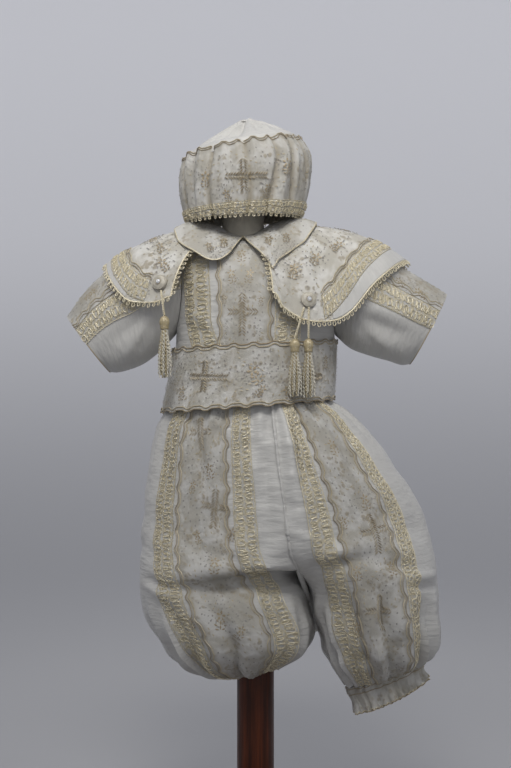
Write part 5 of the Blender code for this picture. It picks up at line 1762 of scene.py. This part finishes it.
# Folds of the cap's band: turn round it, reach and height, below zero for a trough
CAP_FOLDS = (
    (0.35, 0.07, -3.4), (0.8, 0.05, 2), (1.02, 0.05, -4.2), (1.35, 0.08, 1.8), (1.62, 0.05, -3),
    (2.05, 0.06, -4.6), (2.25, 0.06, 2.2), (2.45, 0.05, -3.8), (2.8, 0.05, -3.2), (3.6, 0.06, -3.4),
    (4, 0.06, -3.6), (4.5, 0.05, 1.8), (4.9, 0.06, -3.8), (5.3, 0.05, -2.6), (5.8, 0.06, -3.6),
)
CAP_CROSSES = ((-12, 646, 42, 30, 92, -1), (-10, 642, 34, 26, 0, 1))
CAP_FLOWERS = (
    (-48, 648, 1.2, 0, -1), (30, 660, 1.2, 0, -1), (-44, 645, 1.2, 0, 1),
    (26, 655, 1.2, 0, 1), (-28, 630, 1, 20, -1), (12, 636, 1, -20, -1),
)


def cape_normal(direction, reach):
    """The capelets' normal at a direction and a reach, pointing to the front."""
    along = cape_point(direction, reach + 0.02) - cape_point(direction, reach - 0.02)
    sideways = cape_point(direction + 2, reach) - cape_point(direction - 2, reach)
    found = np.cross(sideways, along)
    found /= np.linalg.norm(found)
    return found if found[1] < 0 else -found


def make_buttons():
    """Two covered buttons, each with a cord round it and a faceted stone in a claw ring."""
    for name, (direction, reach) in BUTTONS.items():
        out = cape_normal(direction, reach)
        seat = cape_point(direction, reach) + out * BUTTON_LIFT
        made = Mesh().turned(BUTTON_PROFILE, 64, seat, out)
        ring = np.linspace(0, TAU, 61)[:-1]
        aside = np.cross(out, (0, 0, 1))
        aside /= np.linalg.norm(aside)
        third = np.cross(out, aside)
        path = seat + out * 2.3 + (np.cos(ring)[:, None] * aside + np.sin(ring)[:, None] * third) * 7
        made.tube(path, out, 0.45, 6, closed=True)
        made.piece("covered_button_" + name, finished("button_satin"), "satin", ["button_" + name], sharp=60)
        top = seat + out * (BUTTON_PROFILE[-1][1] - 0.1)
        stone = Mesh()
        stone.turned(STONE_PROFILE, 10, top, out)
        stone.piece("cut_stone_" + name, finished("clear_stone"), "stone", ["button_stone_" + name], sharp=10)
        claw = Mesh()
        claw.shade = 0.7
        path = top + out * 0.35 + (np.cos(ring)[:, None] * aside + np.sin(ring)[:, None] * third) * 2.75
        claw.tube(path, out, 0.35, 6, closed=True)
        claw.stitched("stone_setting_" + name, "stone")


def make_tassels():
    """Each tassel: a bound head, and a skirt of crimped strands that fall from it and spread."""
    strands = bpy.context.scene.suit_sizes.tassel_strands
    for name, (top, length) in TASSELS.items():
        top = np.array(top)
        head = Mesh()
        head.turned(TASSEL_PROFILE, 40, top,
                    ripple=lambda turn, height: 1 + 0.07 * np.sin(turn * 15 + height * 2.2))
        ring = np.linspace(0, TAU * 4, 150)
        path = top + np.stack([3.75 * np.cos(ring), 3.75 * np.sin(ring), -12.4 + 0.55 * ring / TAU * 1.6], 1)
        head.tube(path, (0, 0, 1), 0.5, 5)
        number = np.arange(strands)
        golden = number * 2.39996
        spread = np.sqrt((number + 0.5) / strands)
        t = np.linspace(0, 1, 40)[:, None]
        reach = (3 + (6.2 - 3) * smooth(0, 0.7, t) - 0.5 * smooth(0.75, 1, t)) * spread
        foot = -length * (0.86 + 0.14 * np.sin(number * 2.9) ** 2)
        z = -11 + (foot + 11) * t
        crimp = t * 70 + number * 1.3
        lean = 0.9 * np.sin(number * 1.7) * t * t
        x = np.cos(golden) * reach + lean + 0.5 * np.cos(crimp)
        y = np.sin(golden) * reach + 0.5 * np.sin(crimp)
        skirt = Mesh()
        for k in range(strands):
            skirt.shade = 0.3 + 0.3 * np.sin(k * 2.1)
            path = top + np.stack([x[:, k], y[:, k], z[:, k]], 1)
            skirt.tube(path, (0.3, 1, 0.1), 0.6 + 0.16 * np.sin(t[:, 0] * 95 + k), 4)
        skirt.join(head)
        skirt.piece("tassel_strands_" + name, finished("gold_cord"), "tassel", ["tassel_" + name])
        make_cord(name, top)


def make_cord(name, top):
    """Two thin cords turned round each other, from under the button to the tassel."""
    direction, reach = BUTTONS["right" if name == "right" else "left"]
    out = cape_normal(direction, reach)
    seat = cape_point(direction, reach) + out * CORD_LIFT
    start = seat + np.array([0.35 * (top[0] - seat[0]), -1.4, -8])
    end = top + (0, 0, 0.2)
    share = np.linspace(0, 1, 60)[:, None]
    middle = start + (end - start) * share + np.array([0, -3, 0]) * np.sin(np.pi * share)
    made = Mesh()
    made.shade = 0.1
    turn = share * np.linalg.norm(end - start) * 1.6
    for phase in (0, np.pi):
        path = middle + 0.55 * np.concatenate([np.cos(turn + phase), np.sin(turn + phase), 0 * turn], 1)
        made.tube(path, (0.2, 1, 0), 0.62, 5)
    made.stitched("tassel_loop_" + name, "tassel", ["tassel_cord_" + name])


# ---------------------------------------------------------------- stage


def make_stage():
    """A pale bowl of a floor that curves up into walls all round, painted darker towards the floor and
    glowing more with height as painted light, soft panels of light, and the camera.
    """
    sides = 160
    bend = np.radians(np.linspace(0, 90, 24))
    profile = [(r, 0) for r in np.linspace(0, 1.9, 12)]
    profile += [(1.9 + 2.4 * np.sin(a), 2.4 * (1 - np.cos(a))) for a in bend[1:]]
    profile += [(4.3, z) for z in np.linspace(2.8, 5.6, 8)]
    radius, height = np.array(profile).T * 1000
    turn = np.arange(sides) / sides * TAU
    radius, height = radius[:, None], height[:, None]
    grid = np.stack(np.broadcast_arrays(radius * np.cos(turn), radius * np.sin(turn), height), 2)
    faces = ring_faces(len(radius), sides)
    mesh = bpy.data.meshes.new("studio_bowl")
    mesh.from_pydata((grid.reshape(-1, 3) * MM - (0, 0, 0.0002)).tolist(), [], faces.tolist())
    mesh.shade_smooth()
    colours = bpy.context.scene.suit_colours
    paper = Finish("studio_paper").set(Roughness=0.95, Specular_IOR_Level=0.1)
    place = paper.node("SeparateXYZ", {"Vector": paper.places.outputs["Object"]})
    climb = paper.ramp(place.outputs["Z"], 0, 2)
    grain = paper.noise((6, 6, 6), 3, flat=False)
    # Painted shade: the bowl's colour darkens from the wall colour to the floor colour lower down
    shade = paper.mix(climb, colours.floor, colours.wall)
    # Painted light: the bowl glows, more the higher it rises, though it is no lamp
    glow = paper.mix(paper.ramp(place.outputs["Z"], -0.5, 1.05), (0, 0, 0), (0.62, 0.625, 0.66))
    paper.tree.links.new(glow, paper.shader.inputs["Emission Color"])
    paper.set(Emission_Strength=0.41)
    mesh.materials.append(paper.finish(shade, grain, 0.0005, 0.1))
    placed("studio_bowl", mesh)
    world = bpy.data.worlds.new("studio_air")
    world.use_nodes = True
    world.node_tree.nodes["Background"].inputs["Color"].default_value = (0.80, 0.83, 0.9, 1)
    world.node_tree.nodes["Background"].inputs["Strength"].default_value = 0.4
    bpy.context.scene.world = world
    aim = Vector((0, 0, 0.67))
    for name, place, size, power, spread, tint in LIGHTS:
        light = bpy.data.lights.new(name, "AREA")
        light.shape, light.size, light.energy, light.color = "DISK", size, power, tint
        light.spread = np.radians(spread)
        lamp = placed(name, light)
        lamp.location = place
        lamp.visible_camera = False
        lamp.rotation_euler = (aim - Vector(place)).to_track_quat("-Z", "Y").to_euler()
    lens = bpy.data.cameras.new("camera")
    lens.lens, lens.sensor_width, lens.clip_start, lens.clip_end = 70.3, 36, 0.05, 50
    camera = placed("camera", lens)
    camera.location = (0, -1.5, 0.446)
    camera.rotation_euler = (np.pi / 2, 0, 0)
    bpy.context.scene.camera = camera
    bpy.context.scene.view_settings.view_transform = "Standard"


LIGHTS = (
    ("key_panel", (-0.05, -0.85, 1.42), 0.6, 1.1, 50, (1, 0.985, 0.955)),
    ("top_panel", (0.1, 0, 2.6), 1.3, 2.4, 180, (0.99, 0.99, 1)),
    ("fill_panel", (1.4, -1.9, 1.1), 1.4, 1.9, 180, (0.98, 0.99, 1)),
)


# ---------------------------------------------------------------- the add-on


def colour(name, description, value):
    """A colour that a user may change."""
    return bpy.props.FloatVectorProperty(
        name=name, description=description, default=value, subtype="COLOR", min=0, max=1
    )


def length(name, description, value):
    """A length that a user may change, given in millimetres."""
    return bpy.props.FloatProperty(
        name=name, description=description, default=value * MM, unit="LENGTH", subtype="DISTANCE"
    )


class SuitColours(bpy.types.PropertyGroup):
    """Colours of the cloths, threads, stand and studio."""

    satin: colour("Satin", "Ivory satin of the suit", (0.545, 0.535, 0.505))
    lace: colour("Lace", "Cream lace laid over the satin", (0.66, 0.645, 0.60))
    # Partly the lace's own grey, partly painted shadow of its crumples
    lace_grey_and_shadow: colour("Lace shade", "Shaded ground between the lace's flowers", (0.48, 0.455, 0.39))
    # Partly tan worked flowers, partly painted shade in shadowed patches and the cap's fold valleys
    lace_tan_and_shadow: colour("Lace warmth", "Warm patches of worked flowers in the lace", (0.39, 0.335, 0.24))
    gold: colour("Gold", "Gold thread of the braid and the crosses", (0.50, 0.415, 0.245))
    cream: colour("Cream", "Cream strand that is twisted with the gold", (0.78, 0.725, 0.56))
    tan: colour("Tan", "Scalloped cords along the lace", (0.35, 0.285, 0.185))
    grey_thread: colour("Grey thread", "Small grey stitches", (0.34, 0.32, 0.29))
    button: colour("Buttons", "Satin drawn over the buttons", (0.50, 0.465, 0.385))
    form: colour("Form", "Grey cover of the dress form", (0.6, 0.56, 0.46))
    wood: colour("Wood", "Stained post and base", (0.062, 0.0135, 0.003))
    # The bowl blends floor into wall by height: a painted darkening towards the bottom
    floor: colour("Floor", "Studio floor", (0.36, 0.36, 0.37))
    wall: colour("Wall", "Studio wall", (0.62, 0.62, 0.635))


class SuitSizes(bpy.types.PropertyGroup):
    """Sizes of the trims that a maker would change."""

    wave_period: length("Scallop", "Length of one scallop of the lace's edge", 20.5)
    wave_height: length("Scallop height", "How far the lace's edge swings out", 1.7)
    loop_pitch: length("Braid loop", "Length of one loop of the braid", 4.2)
    braid_thread: length("Braid thread", "Thickness of the braid's thread", 0.85)
    picot_pitch: length("Picot", "Length of one loop of the capelets' edging", 5.2)
    tassel_strands: bpy.props.IntProperty(
        name="Strands", description="Strands in a tassel", default=46, min=8
    )


class SUIT_OT_stage(bpy.types.Operator):
    """Makes the studio floor, the lights and the camera."""

    bl_idname = "suit.stage"
    bl_label = "Stage"

    def execute(self, context):
        make_stage()
        return {"FINISHED"}


class SUIT_OT_stand(bpy.types.Operator):
    """Turns the wooden base and post."""

    bl_idname = "suit.stand"
    bl_label = "Stand"

    def execute(self, context):
        make_stand()
        return {"FINISHED"}


class SUIT_OT_form(bpy.types.Operator):
    """Covers the dress form in grey jersey."""

    bl_idname = "suit.form"
    bl_label = "Form"

    def execute(self, context):
        make_form()
        return {"FINISHED"}


class SUIT_OT_legs(bpy.types.Operator):
    """Sews the balloon legs with their lace, braid and stitches."""

    bl_idname = "suit.legs"
    bl_label = "Legs"

    def execute(self, context):
        make_legs()
        return {"FINISHED"}


class SUIT_OT_cuffs(bpy.types.Operator):
    """Gathers the two leg cuffs."""

    bl_idname = "suit.cuffs"
    bl_label = "Cuffs"

    def execute(self, context):
        make_cuffs()
        return {"FINISHED"}


class SUIT_OT_bodice(bpy.types.Operator):
    """Sews the bodice with its lace panel and braid."""

    bl_idname = "suit.bodice"
    bl_label = "Bodice"

    def execute(self, context):
        make_bodice()
        return {"FINISHED"}


class SUIT_OT_sleeves(bpy.types.Operator):
    """Sews the sleeves with their lace and braid."""

    bl_idname = "suit.sleeves"
    bl_label = "Sleeves"

    def execute(self, context):
        make_sleeves()
        return {"FINISHED"}


class SUIT_OT_capelets(bpy.types.Operator):
    """Drapes the shoulder capelets with braid and looped edging."""

    bl_idname = "suit.capelets"
    bl_label = "Capelets"

    def execute(self, context):
        make_capelets()
        return {"FINISHED"}


class SUIT_OT_collar(bpy.types.Operator):
    """Folds the collar over the capelets."""

    bl_idname = "suit.collar"
    bl_label = "Collar"

    def execute(self, context):
        make_collar()
        return {"FINISHED"}


class SUIT_OT_belt(bpy.types.Operator):
    """Wraps the lace belt round the waist."""

    bl_idname = "suit.belt"
    bl_label = "Belt"

    def execute(self, context):
        make_belt()
        return {"FINISHED"}


class SUIT_OT_cap(bpy.types.Operator):
    """Gathers the cap's crown, band and edging."""

    bl_idname = "suit.cap"
    bl_label = "Cap"

    def execute(self, context):
        make_cap()
        return {"FINISHED"}


class SUIT_OT_buttons(bpy.types.Operator):
    """Covers the buttons and sets their stones."""

    bl_idname = "suit.buttons"
    bl_label = "Buttons"

    def execute(self, context):
        make_buttons()
        return {"FINISHED"}


class SUIT_OT_tassels(bpy.types.Operator):
    """Hangs the tassels from their cords."""

    bl_idname = "suit.tassels"
    bl_label = "Tassels"

    def execute(self, context):
        make_tassels()
        return {"FINISHED"}


OPERATORS = (
    SUIT_OT_stage,
    SUIT_OT_stand,
    SUIT_OT_form,
    SUIT_OT_legs,
    SUIT_OT_cuffs,
    SUIT_OT_bodice,
    SUIT_OT_sleeves,
    SUIT_OT_capelets,
    SUIT_OT_collar,
    SUIT_OT_belt,
    SUIT_OT_cap,
    SUIT_OT_buttons,
    SUIT_OT_tassels,
)


class SUIT_PT_pieces(bpy.types.Panel):
    """Lists the sizes, the colours and the pieces."""

    bl_label = "Christening Suit"
    bl_space_type = "VIEW_3D"
    bl_region_type = "UI"
    bl_category = "Christening Suit"

    def draw(self, context):
        for group in (context.scene.suit_sizes, context.scene.suit_colours):
            box = self.layout.box()
            for name in group.__annotations__:
                box.prop(group, name)
        for operator in OPERATORS:
            self.layout.operator(operator.bl_idname)


CLASSES = (SuitColours, SuitSizes, *OPERATORS, SUIT_PT_pieces)


def register():
    for one in CLASSES:
        bpy.utils.register_class(one)
    bpy.types.Scene.suit_colours = bpy.props.PointerProperty(type=SuitColours)
    bpy.types.Scene.suit_sizes = bpy.props.PointerProperty(type=SuitSizes)


def unregister():
    del bpy.types.Scene.suit_sizes
    del bpy.types.Scene.suit_colours
    for one in reversed(CLASSES):
        bpy.utils.unregister_class(one)


def main():
    register()
    for operator in OPERATORS:
        getattr(bpy.ops.suit, operator.bl_idname.split(".")[1])()


if __name__ == "__main__":
    main()
